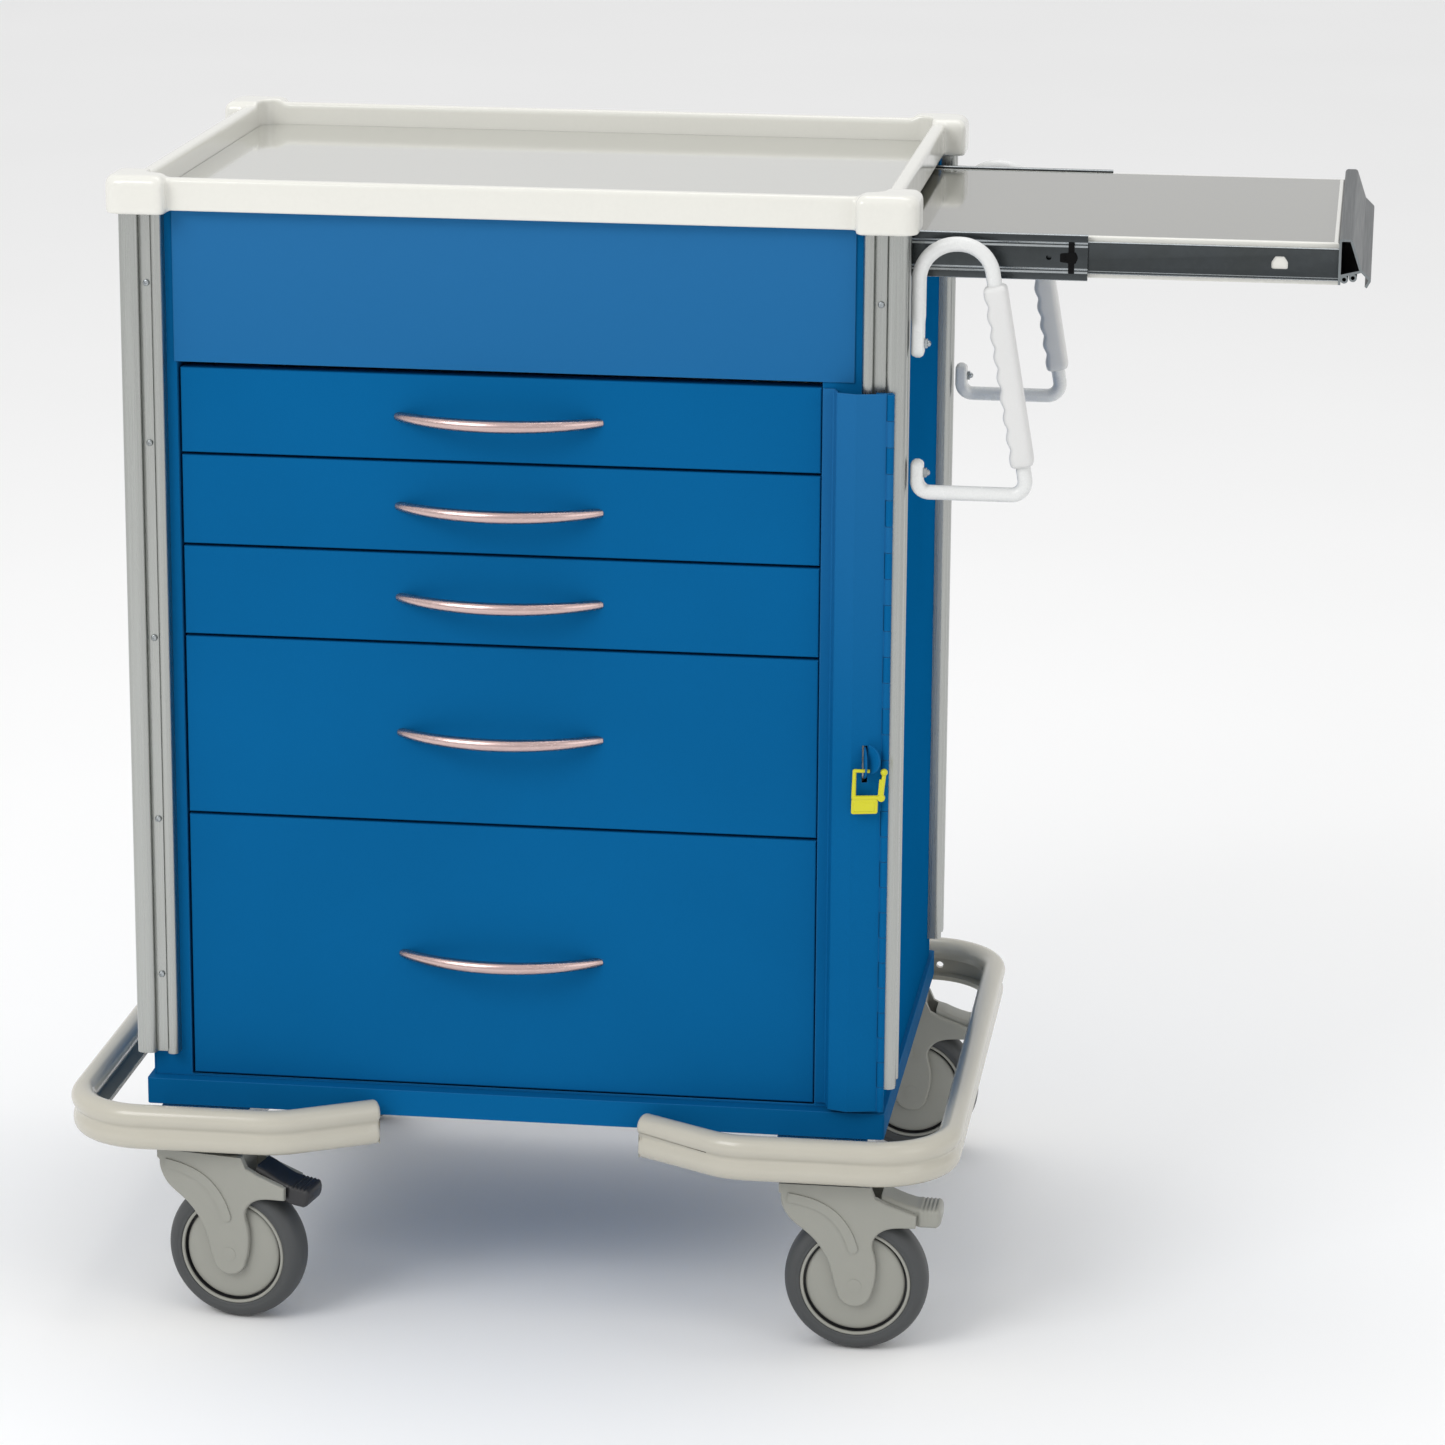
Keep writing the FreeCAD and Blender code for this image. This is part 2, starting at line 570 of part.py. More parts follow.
def lock_bar():
    height = KNUCKLE_PITCH - KNUCKLE_PLAY
    outline = [(x, y, BAR_BOTTOM) for x, y in folded(softened(BAR_LINE, 2.2), SHEET)]
    bar = prism(outline, V(0, 0, BAR_TOP - BAR_BOTTOM))
    rings = knuckles(0, height)
    gaps = knuckles(1, height)
    bar = bar.fuse(Part.makeCompound([ring for low, ring, bore in rings]))
    for low, ring, bore in rings:
        bar = bar.cut(bore)
    for low, ring, bore in gaps:
        notch = KNUCKLE_RADIUS + 0.4
        start = V(HINGE_X, HINGE_Y, low - KNUCKLE_PLAY)
        bar = bar.cut(rod(start, ALONG_Z, notch, KNUCKLE_PITCH + KNUCKLE_PLAY))
    tail = BAR_BOTTOM + int((BAR_TOP - BAR_BOTTOM) / KNUCKLE_PITCH) * KNUCKLE_PITCH
    bar = bar.cut(box(HINGE_X - 4, HINGE_X + 4, HINGE_Y - 4, HINGE_Y + 4, tail, BAR_TOP + 1))
    slot_corners = [face_point(a, o) for a, o in ((9.0, -3.0), (13.5, -3.0), (13.5, 3.0), (9.0, 3.0))]
    slot = prism([(x, y, SEAL_Z - 13) for x, y in slot_corners], V(0, 0, 31))
    bar = bar.cut(slot)
    save("lock_bar", bar, hasp())


def hasp():
    """Half-round tab standing out through the bar's slot, with a hole for the seal."""
    inner = [face_point(a, o) for a, o in ((10.5, -0.6), (12.0, -0.6), (12.0, 14.0), (10.5, 14.0))]
    blade = prism([(x, y, SEAL_Z - 9) for x, y in inner], V(0, 0, 26))
    x, y = face_point(5.0, 0.5)
    tx, ty = face_point(6.0, 0.5)
    disc = rod(V(x, y, SEAL_Z + 4), V(tx - x, ty - y, 0), 13.0, 12)
    hole = face_point(5.0, 8.5)
    cut = rod(V(hole[0], hole[1], SEAL_Z), V(tx - x, ty - y, 0), 2.2, 12)
    return blade.common(disc).cut(cut)


def lock_seal():
    """Numberless plastic padlock seal hanging from the hasp."""
    x, y = face_point(11.25, 8.5)
    plane = y
    left = x - 11.0
    body = box(left - 0.5, left + 22.0, plane - 1.6, plane + 1.6, SEAL_Z - 38, SEAL_Z - 23)
    body = rounded(body, 1.2, lambda e: runs_along(e, ALONG_Y))
    leg = rod(V(left + 1.5, plane, SEAL_Z - 25), ALONG_Z, 1.5, 24.5)
    shackle = rod(V(left + 1.0, plane, SEAL_Z - 0.7), ALONG_X, 1.5, 24.0)
    ball = Part.makeSphere(3.3, V(left + 25.0, plane, SEAL_Z - 0.7))
    lug = rod(V(left + 22.5, plane - 1.6, SEAL_Z - 25), ALONG_Y, 4.5, 3.2)
    save("lock_seal", merge([body, leg, shackle, ball, lug]))


def lock_hinge():
    """Fixed leaf on the right front post, its knuckles and the hinge pin."""
    height = KNUCKLE_PITCH - KNUCKLE_PLAY
    post_face = -POST_Y
    leaf = box(296.5, HINGE_X + 1.5, post_face - 1.2, post_face, BAR_BOTTOM + 18, BAR_TOP)
    bores = []
    for low, ring, bore in knuckles(1, height):
        web = box(HINGE_X - 1.5, HINGE_X + 1.5, HINGE_Y + 2.0, post_face - 1.0, low, low + height)
        leaf = leaf.fuse(ring).fuse(web)
        bores.append(bore)
    leaf = leaf.cut(Part.makeCompound(bores)).removeSplitter()
    pin = rod(V(HINGE_X, HINGE_Y, BAR_BOTTOM + 0.5), ALONG_Z, PIN_RADIUS, BAR_TOP - BAR_BOTTOM - 22)
    save("lock_hinge", leaf, pin)


# ---- push handles ---------------------------------------------------------------------
def handle_line(plane_y):
    """Bend points of a push handle's tube in its upright plane."""
    right = LOOP_LEFT + 2 * LOOP_RADIUS
    lean = (HANDLE_OUTER_X - right) / (LOOP_CENTRE_Z - HANDLE_BOTTOM_Z)
    top = LOOP_CENTRE_Z + LOOP_RADIUS
    points = [(LOOP_LEFT, TUBE_END_Z), (LOOP_LEFT, top), (right - lean * LOOP_RADIUS, top),
              (HANDLE_OUTER_X, HANDLE_BOTTOM_Z), (LOOP_LEFT + 1, HANDLE_BOTTOM_Z),
              (LOOP_LEFT + 1, LOWER_PAD[1] - 4)]
    return [V(x, plane_y, z) for x, z in points]


def grip(plane_y):
    """Moulded grip round the sloping run, scalloped for the fingers on its inner side."""
    line = handle_line(plane_y)
    run = (line[3] - line[2]).normalize()
    across = V(-run.z, 0, run.x)
    top = line[2] + run * ((line[2].z - GRIP_TOP_Z) / -run.z)
    length = (GRIP_TOP_Z - GRIP_BOTTOM_Z) / -run.z
    edge = []
    steps = 6 * GRIP_WAVES
    for step in range(steps + 1):
        t = step / steps
        dip = GRIP_DIP * (1 - math.cos(2 * math.pi * GRIP_WAVES * t)) / 2
        edge.append(top + run * (length * t) + across * (GRIP_HALF_WIDTH - dip))
    curve = Part.BSplineCurve()
    curve.interpolate(edge)
    far_top = top - across * GRIP_HALF_WIDTH
    far_bottom = top + run * length - across * GRIP_HALF_WIDTH
    outline = Part.Wire([
        curve.toShape(),
        Part.LineSegment(edge[-1], far_bottom).toShape(),
        Part.LineSegment(far_bottom, far_top).toShape(),
        Part.LineSegment(far_top, edge[0]).toShape(),
    ])
    outline.translate(V(0, -GRIP_HALF_DEPTH, 0))
    body = Part.Face(outline).extrude(V(0, 2 * GRIP_HALF_DEPTH, 0))
    bore = rod(top - run * 5, run, TUBE_RADIUS, length + 10)
    back = [e for e in body.Edges if runs_along(e, run) and e.BoundBox.DiagonalLength > 50]
    return body.makeFillet(GRIP_ROUND, back).cut(bore)


def push_handles():
    tubes, grips = [], []
    for plane_y in (-HANDLE_Y, HANDLE_Y):
        line = handle_line(plane_y)
        bar = tube(line, (LOOP_RADIUS - 0.1, LOOP_RADIUS - 3, CORNER_BEND, CORNER_BEND), TUBE_RADIUS)
        near, far = plane_y - PAD_HALF_WIDTH, plane_y + PAD_HALF_WIDTH
        upper = box(POST_X, LOOP_LEFT + 3.5, near, far, *UPPER_PAD)
        lower = box(POST_X, LOOP_LEFT + 4.5, near, far, *LOWER_PAD)
        pads = [rounded(pad, PAD_ROUND, lambda e: runs_along(e, ALONG_X)) for pad in (upper, lower)]
        tubes.append(merge([bar] + pads))
        grips.append(grip(plane_y))
    save("push_handles", *tubes)
    save("handle_grips", *grips)


def frame_bolts():
    """Dome-nut bolts through the handles' pads."""
    bolts = []
    for plane_y in (-HANDLE_Y, HANDLE_Y):
        for height, face in ((UPPER_BOLT_Z, LOOP_LEFT + 3.5), (LOWER_BOLT_Z, LOOP_LEFT + 1 + TUBE_RADIUS)):
            washer = rod(V(face, plane_y, height), ALONG_X, WASHER_RADIUS, WASHER_THICKNESS)
            face += WASHER_THICKNESS
            nut = rod(V(face, plane_y, height), ALONG_X, NUT_RADIUS, NUT_HEIGHT)
            dome = rod(V(face + NUT_HEIGHT, plane_y, height), ALONG_X, DOME_RADIUS, DOME_HEIGHT)
            bolts.append(merge([washer, nut, dome]))
    save("frame_bolts", *bolts)


# ---- bumper and base rails ------------------------------------------------------------
def bumper():
    """Soft bead over a C-shaped flange, open at the front between two turned-in tips."""
    tip_x, tip_y = BUMPER_TIP
    right = [(tip_x, tip_y), (BUMPER_BEND_X, -BUMPER_Y), (BUMPER_X, -BUMPER_Y)]
    corners = right + [(BUMPER_X, BUMPER_Y)]
    corners += [(-x, y) for x, y in reversed(corners)]
    path = bent_path([V(x, y, 0) for x, y in corners],
                     (60.0, BUMPER_CORNER, BUMPER_CORNER, BUMPER_CORNER, BUMPER_CORNER, 60.0))
    length = math.hypot(BUMPER_BEND_X - tip_x, -BUMPER_Y - tip_y)
    dx, dy = (BUMPER_BEND_X - tip_x) / length, (-BUMPER_Y - tip_y) / length

    def at(out, up):
        return V(tip_x + dy * out, tip_y - dx * out, BUMPER_BOTTOM + up)

    bead, bead_up = BUMPER_BEAD, 28.0
    slant = bead * math.sqrt(0.5)
    flange = Part.BSplineCurve()
    flange.interpolate([at(slant, bead_up - slant), at(6.2, 18.4), at(7.6, 15.0), at(8.6, 10.0),
                        at(7.6, 4.6), at(4.4, 1.0), at(1.0, 0.0)])
    section = Part.Wire([
        Part.Arc(at(-bead, bead_up), at(0, bead_up + bead), at(bead, bead_up)).toShape(),
        Part.Arc(at(bead, bead_up), at(bead * 0.924, bead_up - bead * 0.383),
                 at(slant, bead_up - slant)).toShape(),
        flange.toShape(),
        Part.LineSegment(at(1.0, 0.0), at(-9.0, 0.0)).toShape(),
        Part.LineSegment(at(-9.0, 0.0), at(-9.0, 4.0)).toShape(),
        Part.LineSegment(at(-9.0, 4.0), at(2.4, 4.0)).toShape(),
        Part.LineSegment(at(2.4, 4.0), at(2.4, 18.0)).toShape(),
        Part.LineSegment(at(2.4, 18.0), at(-7.0, 20.0)).toShape(),
        Part.LineSegment(at(-7.0, 20.0), at(-bead, bead_up - 2)).toShape(),
        Part.LineSegment(at(-bead, bead_up - 2), at(-bead, bead_up)).toShape(),
    ])
    solid = path.makePipeShell([section], True, False)
    holes = []
    for x in (-BUMPER_HOLE_X, BUMPER_HOLE_X):
        holes.append(rod(V(x, BUMPER_Y - 4, BUMPER_BOTTOM + 11), ALONG_Y, BUMPER_HOLE, 20))
    save("bumper", solid.cut(Part.makeCompound(holes)))


def caster_mounts():
    """Two steel rails under the base that carry the casters and the bumper."""
    pieces = []
    end_y = BUMPER_Y - 11.5
    for side in (-1, 1):
        x0 = side * CASTER_X - RAIL_HALF_WIDTH
        x1 = side * CASTER_X + RAIL_HALF_WIDTH
        rail = box(x0, x1, -end_y, end_y, RAIL_BOTTOM, BASE_BOTTOM)
        hollow = box(x0 + 3, x1 - 3, -end_y - 1, end_y + 1, RAIL_BOTTOM + 3, BASE_BOTTOM - 3)
        tongue = box(x0 + 6, x1 - 6, end_y - 30, BUMPER_Y + 2.2, BUMPER_BOTTOM + 4.5, BUMPER_BOTTOM + 17.5)
        rail = rail.cut(hollow)
        pieces += [rail, tongue, mirrored(tongue, False, True)]
        for end in (-1, 1):
            centre = V(side * CASTER_X, end * CASTER_Y, 0)
            race = rod(centre + V(0, 0, FORK_TOP + 0.8), ALONG_Z, RACE_RADIUS,
                       RAIL_BOTTOM - FORK_TOP - 0.8)
            pin = rod(centre + V(0, 0, FORK_TOP - 18), ALONG_Z, KINGPIN_RADIUS, 20)
            pieces += [race, pin]
    whole = merge(pieces)
    save("caster_mounts", whole)


# ---- casters --------------------------------------------------------------------------
def caster_fork():
    """Moulded fork: swivel head, two legs to the axle and a horn that holds the pedal."""
    side = FORK_HALF_WIDTH
    edge = [(-30, 138), (-28.5, 127), (-22, 116), (-8, 104.5), (4, 91), (11, 77), (14.5, 64), (17.5, 54.5)]
    horn = [(46.5, 54.5), (49.5, 70), (48.5, 86), (46.5, 97), (49.5, 104), (56.5, 109.5),
            (66, 111.8), (82, 112.6), (82.5, 123.5), (58, 132.5), (48, 137.5), (44, FORK_TOP)]
    left = Part.BSplineCurve()
    left.interpolate([V(x, -side, z) for x, z in edge])
    pieces = [left.toShape()]
    boss = Part.Arc(V(17.5, -side, 54.5), V(32, -side, 41.5), V(46.5, -side, 54.5))
    pieces.append(boss.toShape())
    inner = Part.BSplineCurve()
    inner.interpolate([V(x, -side, z) for x, z in horn[:8]])
    pieces.append(inner.toShape())
    rest = [V(x, -side, z) for x, z in horn[7:]]
    rest += [V(-31.5, -side, FORK_TOP), V(-31.5, -side, 139.5), V(-30, -side, 138)]
    pieces += [Part.LineSegment(a, b).toShape() for a, b in zip(rest, rest[1:])]
    solid = Part.Face(Part.Wire(pieces)).extrude(V(0, 2 * side, 0))
    solid = rounded(solid, 2.0, lambda e: abs(abs(e.CenterOfMass.y) - side) < 1e-3
                    and e.BoundBox.ZMax < FORK_TOP - 8)
    wheel_room = box(-45, 95, -FORK_INNER, FORK_INNER, 0, 124.5)
    pedal_room = box(43, 95, -16.2, 16.2, 105, FORK_TOP + 1)
    solid = solid.cut(wheel_room).cut(pedal_room)
    bore = rod(V(0, 0, FORK_TOP - 19), ALONG_Z, KINGPIN_RADIUS + RUNNING, 22)
    ribs = [fork_rib(-1), fork_rib(1)]
    axle = rod(V(TRAIL, -side - 0.3, WHEEL_RADIUS), ALONG_Y, AXLE_RADIUS, 2 * side + 0.6)
    pin = rod(V(PEDAL_PIVOT[0], -side + 1, PEDAL_PIVOT[1]), ALONG_Y, PEDAL_PIN, 2 * side - 2)
    return merge([solid] + ribs + [axle, pin]).cut(bore)


def fork_rib(sign):
    """Raised curved band on a leg's outer face, from the head down towards the axle."""
    line = [(-24, 135), (-8, 132), (6, 126.5), (17, 118), (25, 107), (30.5, 93)]
    curve = Part.BSplineCurve()
    curve.interpolate([V(x, 0, z) for x, z in line])
    middle = [(p.x, p.z) for p in curve.discretize(Number=RIB_STEPS)]
    base_y = sign * FORK_HALF_WIDTH
    low = min(base_y, base_y + sign * RIB_HEIGHT)
    band = prism([(x, low, z) for x, z in folded(middle, 2 * RIB_HALF_WIDTH)], V(0, RIB_HEIGHT, 0))
    tip = rod(V(line[-1][0], low, line[-1][1]), ALONG_Y, RIB_HALF_WIDTH, RIB_HEIGHT)
    return band.fuse(tip)


def caster_pedal():
    """Foot pedal on a pin between the horn's cheeks, with grip ribs near its tip."""
    outline = [(51, 123), (56, 117.5), (61, 115.3), (66, 114.5), (84, 111), (98, 112), (102, 116),
               (101, 125.5), (92, 128), (80, 128.5), (66, 134), (51, 141)]
    side = PEDAL_HALF_WIDTH
    solid = prism([(x, -side, z) for x, z in outline], V(0, 2 * side, 0))
    solid = rounded(solid, 1.5, lambda e: e.BoundBox.XMin > 79 and runs_along(e, ALONG_Y))
    for x in (86.0, 89.5, 93.0, 96.5):
        solid = solid.cut(rod(V(x, -side + 2.5, 128.9), ALONG_Y, 1.2, 2 * side - 5))
    bore = rod(V(PEDAL_PIVOT[0], -side - 1, PEDAL_PIVOT[1]), ALONG_Y, PEDAL_PIN + RUNNING, 2 * side + 2)
    return solid.cut(bore)


def turned(half_section):
    """Solid of revolution about the wheel's axle from the upper half of its section."""
    section = half_section + [(r, -y) for r, y in reversed(half_section)]
    points = [V(TRAIL + r, y, WHEEL_RADIUS) for r, y in section]
    face = Part.Face(Part.makePolygon(points + points[:1]))
    return face.revolve(V(TRAIL, 0, WHEEL_RADIUS), ALONG_Y, 360)


def caster_hub():
    return turned([(AXLE_RADIUS + RUNNING, 15.4), (18, 15.4), (30, 14.6), (38, 13.2), (41.0, 12.2),
                   (41.6, 9.5), (43.2, 9.5), (43.6, 15.0), (45.4, 15.2), (46, 14.4)])


def caster_tyre():
    shoulder = [(46.0, 14.4), (47.5, 15.6), (51.0, 15.8)]
    for step in range(1, 9):
        turn = math.radians(step * 11.25 * 0.96)
        shoulder.append((51.0 + 9.0 * math.sin(turn), 15.8 * math.cos(turn) ** 0.8))
    shoulder.append((WHEEL_RADIUS, 2.0))
    return turned(shoulder)


def casters():
    builders = {"fork": caster_fork, "pedal": caster_pedal, "hub": caster_hub, "tyre": caster_tyre}
    shapes = {kind: build() for kind, build in builders.items()}
    for name, (side, end, turn) in CASTERS.items():
        for kind, shape in shapes.items():
            placed = shape.copy()
            placed.rotate(V(0, 0, 0), ALONG_Z, turn)
            placed.translate(V(side * CASTER_X, end * CASTER_Y, 0))
            save("caster_%s_%s" % (name, kind), placed)


def main():
    side_panels()
    back_panel()
    front_frame()
    header_panel()
    base_pan()
    corner_posts()
    post_screws()
    top_tray()
    outer_members = drawers() + shelf()
    save("slide_outer_members", *outer_members)
    shelf_pull()
    lock_bar()
    lock_seal()
    lock_hinge()
    push_handles()
    frame_bolts()
    bumper()
    caster_mounts()
    casters()
    os.makedirs("parts", exist_ok=True)
    for name, shape in nodes.items():
        shape.translate(ORIGIN * -1)
        if not shape.isValid():
            print("not valid:", name)
        shape.exportStep("parts/%s.step" % name)
    print(len(nodes), "nodes")


main()
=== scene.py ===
"""Looks of the medication cart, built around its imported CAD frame. Metres, +Z up."""
import json
import math

import bmesh
import bpy
from mathutils import Matrix, Vector


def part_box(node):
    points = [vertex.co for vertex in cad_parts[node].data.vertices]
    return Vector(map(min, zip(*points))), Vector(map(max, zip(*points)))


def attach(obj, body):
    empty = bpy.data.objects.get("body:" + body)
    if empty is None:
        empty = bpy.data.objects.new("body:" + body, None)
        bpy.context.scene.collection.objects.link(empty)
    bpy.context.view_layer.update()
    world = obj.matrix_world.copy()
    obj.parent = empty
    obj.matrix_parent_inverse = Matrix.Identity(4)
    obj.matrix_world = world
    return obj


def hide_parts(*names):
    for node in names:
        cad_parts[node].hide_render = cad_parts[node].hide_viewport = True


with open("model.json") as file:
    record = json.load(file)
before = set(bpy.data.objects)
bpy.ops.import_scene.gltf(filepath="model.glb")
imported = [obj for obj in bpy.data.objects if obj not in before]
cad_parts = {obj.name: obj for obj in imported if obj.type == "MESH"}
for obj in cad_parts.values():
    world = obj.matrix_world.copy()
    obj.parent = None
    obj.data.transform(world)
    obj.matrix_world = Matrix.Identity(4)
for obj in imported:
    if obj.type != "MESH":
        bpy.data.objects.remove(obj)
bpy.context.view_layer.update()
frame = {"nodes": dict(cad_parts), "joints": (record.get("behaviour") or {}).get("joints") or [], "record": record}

MM = 0.001
NODES = frame["nodes"]
JOINTS = {joint["name"]: joint for joint in frame["joints"]}
SLOTS = {part["node"]: part["material_slot"] for part in frame["record"]["subparts"]}
CASTERS = ("front_left", "front_right", "rear_left", "rear_right")
DRAWERS = range(1, 6)


# ---- materials
def srgb(red, green, blue):
    """Linear colour from three 0 to 255 values."""
    def linear(value):
        value /= 255
        return value / 12.92 if value <= 0.04045 else ((value + 0.055) / 1.055) ** 2.4
    return linear(red), linear(green), linear(blue)


def shade(colour, factor):
    return tuple(min(1.0, channel * factor) for channel in colour) + (1.0,)


def set_stops(ramp, *stops):
    for element, (position, colour) in zip(ramp.color_ramp.elements, stops):
        element.position = position
        element.color = colour


COAT_ROUGHNESS = 0.08
PAINTED_SHEEN_RISE = (0.5, 0.92)  # metres: heights over which a painted sheen makes a front cover's colour paler towards the top
WORN_LEAN = (0.995, 0.85)  # cosines of the lean at which wear starts and is full
GREY_LOW, GREY_HIGH = (0.98, 0.98, 0.98, 1), (1.01, 1.01, 1.01, 1)


class Surface:
    """A procedural material: noise fields in the frame's own metres drive its looks."""

    def __init__(self, name, roughness, metallic=0.0, coat=0.0, specular=0.5):
        self.material = bpy.data.materials.new(name)
        self.material.use_nodes = True
        self.tree = self.material.node_tree
        self.shader = self.tree.nodes["Principled BSDF"]
        self.place = self.tree.nodes.new("ShaderNodeTexCoord").outputs["Object"]
        for socket, value in (("Roughness", roughness), ("Metallic", metallic),
                              ("Coat Weight", coat), ("Coat Roughness", COAT_ROUGHNESS),
                              ("Specular IOR Level", specular)):
            self.shader.inputs[socket].default_value = value
        self.relief = None

    def node(self, kind, **settings):
        made = self.tree.nodes.new("ShaderNode" + kind)
        for key, value in settings.items():
            setattr(made, key, value)
        return made

    def link(self, source, target):
        self.tree.links.new(source, target)

    def noise(self, scale, detail=2.0, stretch=(1.0, 1.0, 1.0)):
        """Noise of scale cells per metre, drawn out along an axis where stretch is small."""
        mapping = self.node("Mapping")
        mapping.inputs["Scale"].default_value = stretch
        self.link(self.place, mapping.inputs["Vector"])
        field = self.node("TexNoise")
        field.inputs["Scale"].default_value = scale
        field.inputs["Detail"].default_value = detail
        self.link(mapping.outputs["Vector"], field.inputs["Vector"])
        return field.outputs["Fac"]

    def ramp(self, field, low, high, start=0.3, end=0.7):
        """Colour that runs from low to high as field goes from start to end."""
        ramp = self.node("ValToRGB")
        set_stops(ramp, (start, low), (end, high))
        self.link(field, ramp.inputs["Fac"])
        return ramp.outputs["Color"]

    def mix(self, share, first, second, blend="MIX"):
        mixed = self.node("Mix", data_type="RGBA", blend_type=blend)
        for socket, value in (("Factor", share), ("A", first), ("B", second)):
            target = next(s for s in mixed.inputs if s.name == socket and s.enabled)
            if hasattr(value, "is_output"):
                self.link(value, target)
            else:
                target.default_value = value
        return next(s for s in mixed.outputs if s.enabled)

    def colour(self, source):
        self.link(source, self.shader.inputs["Base Color"])
        return self

    def span(self, field, start, end, low=0.0, high=1.0):
        """Runs from low to high as field goes from start to end, and holds beyond them."""
        made = self.node("MapRange")
        for socket, value in (("From Min", start), ("From Max", end),
                              ("To Min", low), ("To Max", high)):
            made.inputs[socket].default_value = value
        self.link(field, made.inputs["Value"])
        return made.outputs["Result"]

    def gloss(self, field, low, high):
        """Roughness that wanders between low and high with field."""
        self.link(self.span(field, 0.1, 0.9, low, high), self.shader.inputs["Roughness"])
        return self

    def bump(self, field, height_mm):
        """Relief of height_mm on top of what is already there."""
        bump = self.node("Bump")
        bump.inputs["Distance"].default_value = height_mm * MM
        self.link(field, bump.inputs["Height"])
        if self.relief is not None:
            self.link(self.relief, bump.inputs["Normal"])
        self.relief = bump.outputs["Normal"]
        self.link(self.relief, self.shader.inputs["Normal"])
        return self

    def height(self, low, high):
        """0 below low, 1 above high, in metres."""
        split = self.node("SeparateXYZ")
        self.link(self.place, split.inputs["Vector"])
        return self.span(split.outputs["Z"], low, high)

    def edge_wear(self, radius_mm):
        """1 along convex edges, 0 on flat stretches: how far a rounded normal leans away."""
        bevel = self.node("Bevel")
        bevel.samples = 4
        bevel.inputs["Radius"].default_value = radius_mm * MM
        flat = self.node("NewGeometry").outputs["Normal"]
        lean = self.node("VectorMath", operation="DOT_PRODUCT")
        self.link(bevel.outputs["Normal"], lean.inputs[0])
        self.link(flat, lean.inputs[1])
        return self.span(lean.outputs["Value"], *WORN_LEAN)


def powder_coat(name, colour, roughness, peel=0.012, wear=0.25, sheen=0.5, upper=None):
    """Baked powder paint: orange-peel relief, faint clouding and paler rubbed edges. With
    upper, the coat runs to that colour over the heights set for the painted sheen at the top: a painted sheen,
    paler towards the top."""
    s = Surface(name, roughness, specular=sheen)
    cloud = s.noise(5.0, 3.0)
    base = s.ramp(cloud, shade(colour, 0.965), shade(colour, 1.035))
    speck = s.ramp(s.noise(1400.0), (0.93, 0.93, 0.93, 1), (1.05, 1.05, 1.05, 1))
    base = s.mix(1.0, base, speck, "MULTIPLY")
    # Painted sheen: the colour turns paler towards the top, between the sheen's two heights.
    if upper:
        base = s.mix(s.height(*PAINTED_SHEEN_RISE), base, upper + (1.0,))
    if wear:
        worn = s.mix(s.edge_wear(0.7), (0, 0, 0, 1), (wear, wear, wear, 1))
        base = s.mix(worn, base, shade(tuple(c + 0.08 for c in colour), 1.5))
    s.colour(base).gloss(s.noise(60.0), roughness - 0.05, roughness + 0.06)
    s.bump(s.noise(520.0, 1.0), peel)
    return s.material


def drawn_metal(name, colour, roughness, along, spread=0.08):
    """Metal with fine lines along one axis, as extrusion or brushing leaves them."""
    def drawn_out(share):
        return tuple(share if axis == along else 1.0 for axis in "xyz")

    s = Surface(name, roughness, metallic=1.0)
    streaks = s.noise(900.0, 2.0, drawn_out(0.012))
    broad = s.noise(9.0, 2.0, drawn_out(0.15))
    base = s.ramp(streaks, shade(colour, 1 - spread), shade(colour, 1 + spread))
    tone = s.ramp(broad, (0.95, 0.95, 0.95, 1), (1.03, 1.03, 1.03, 1))
    s.colour(s.mix(1.0, base, tone, "MULTIPLY"))
    s.gloss(streaks, roughness - 0.06, roughness + 0.08)
    s.bump(streaks, 0.006)
    return s.material


def zinc_plate(name, colour, roughness):
    """Bright zinc plating: soft crystalline patches and a little tarnish."""
    s = Surface(name, roughness, metallic=1.0)
    crystals = s.node("TexVoronoi")
    crystals.inputs["Scale"].default_value = 260.0
    s.link(s.place, crystals.inputs["Vector"])
    grey = s.node("RGBToBW")
    s.link(crystals.outputs["Color"], grey.inputs["Color"])
    base = s.ramp(grey.outputs["Val"], shade(colour, 0.97), shade(colour, 1.03), 0.2, 0.8)
    tarnish = s.ramp(s.noise(22.0, 3.0), (0.94, 0.93, 0.90, 1), (1.01, 1.02, 1.04, 1))
    s.colour(s.mix(1.0, base, tarnish, "MULTIPLY"))
    s.gloss(s.noise(180.0, 2.0), roughness - 0.05, roughness + 0.08)
    s.bump(s.noise(700.0, 1.0), 0.0015)
    return s.material


def moulded(name, colour, roughness, grain=900.0, depth=0.01, spread=0.03, coat=0.0,
            specular=0.5):
    """Moulded plastic or rubber: faint flow clouds and a fine spark-eroded grain."""
    s = Surface(name, roughness, coat=coat, specular=specular)
    cloud = s.noise(14.0, 3.0)
    base = s.ramp(cloud, shade(colour, 1 - spread), shade(colour, 1 + spread), 0.1, 0.9)
    fine = s.noise(grain, 2.0)
    tone = s.ramp(fine, GREY_LOW, GREY_HIGH, 0.1, 0.9)
    s.colour(s.mix(1.0, base, tone, "MULTIPLY"))
    s.gloss(s.noise(45.0, 2.0), roughness - 0.04, roughness + 0.04)
    s.bump(fine, depth)
    return s.material


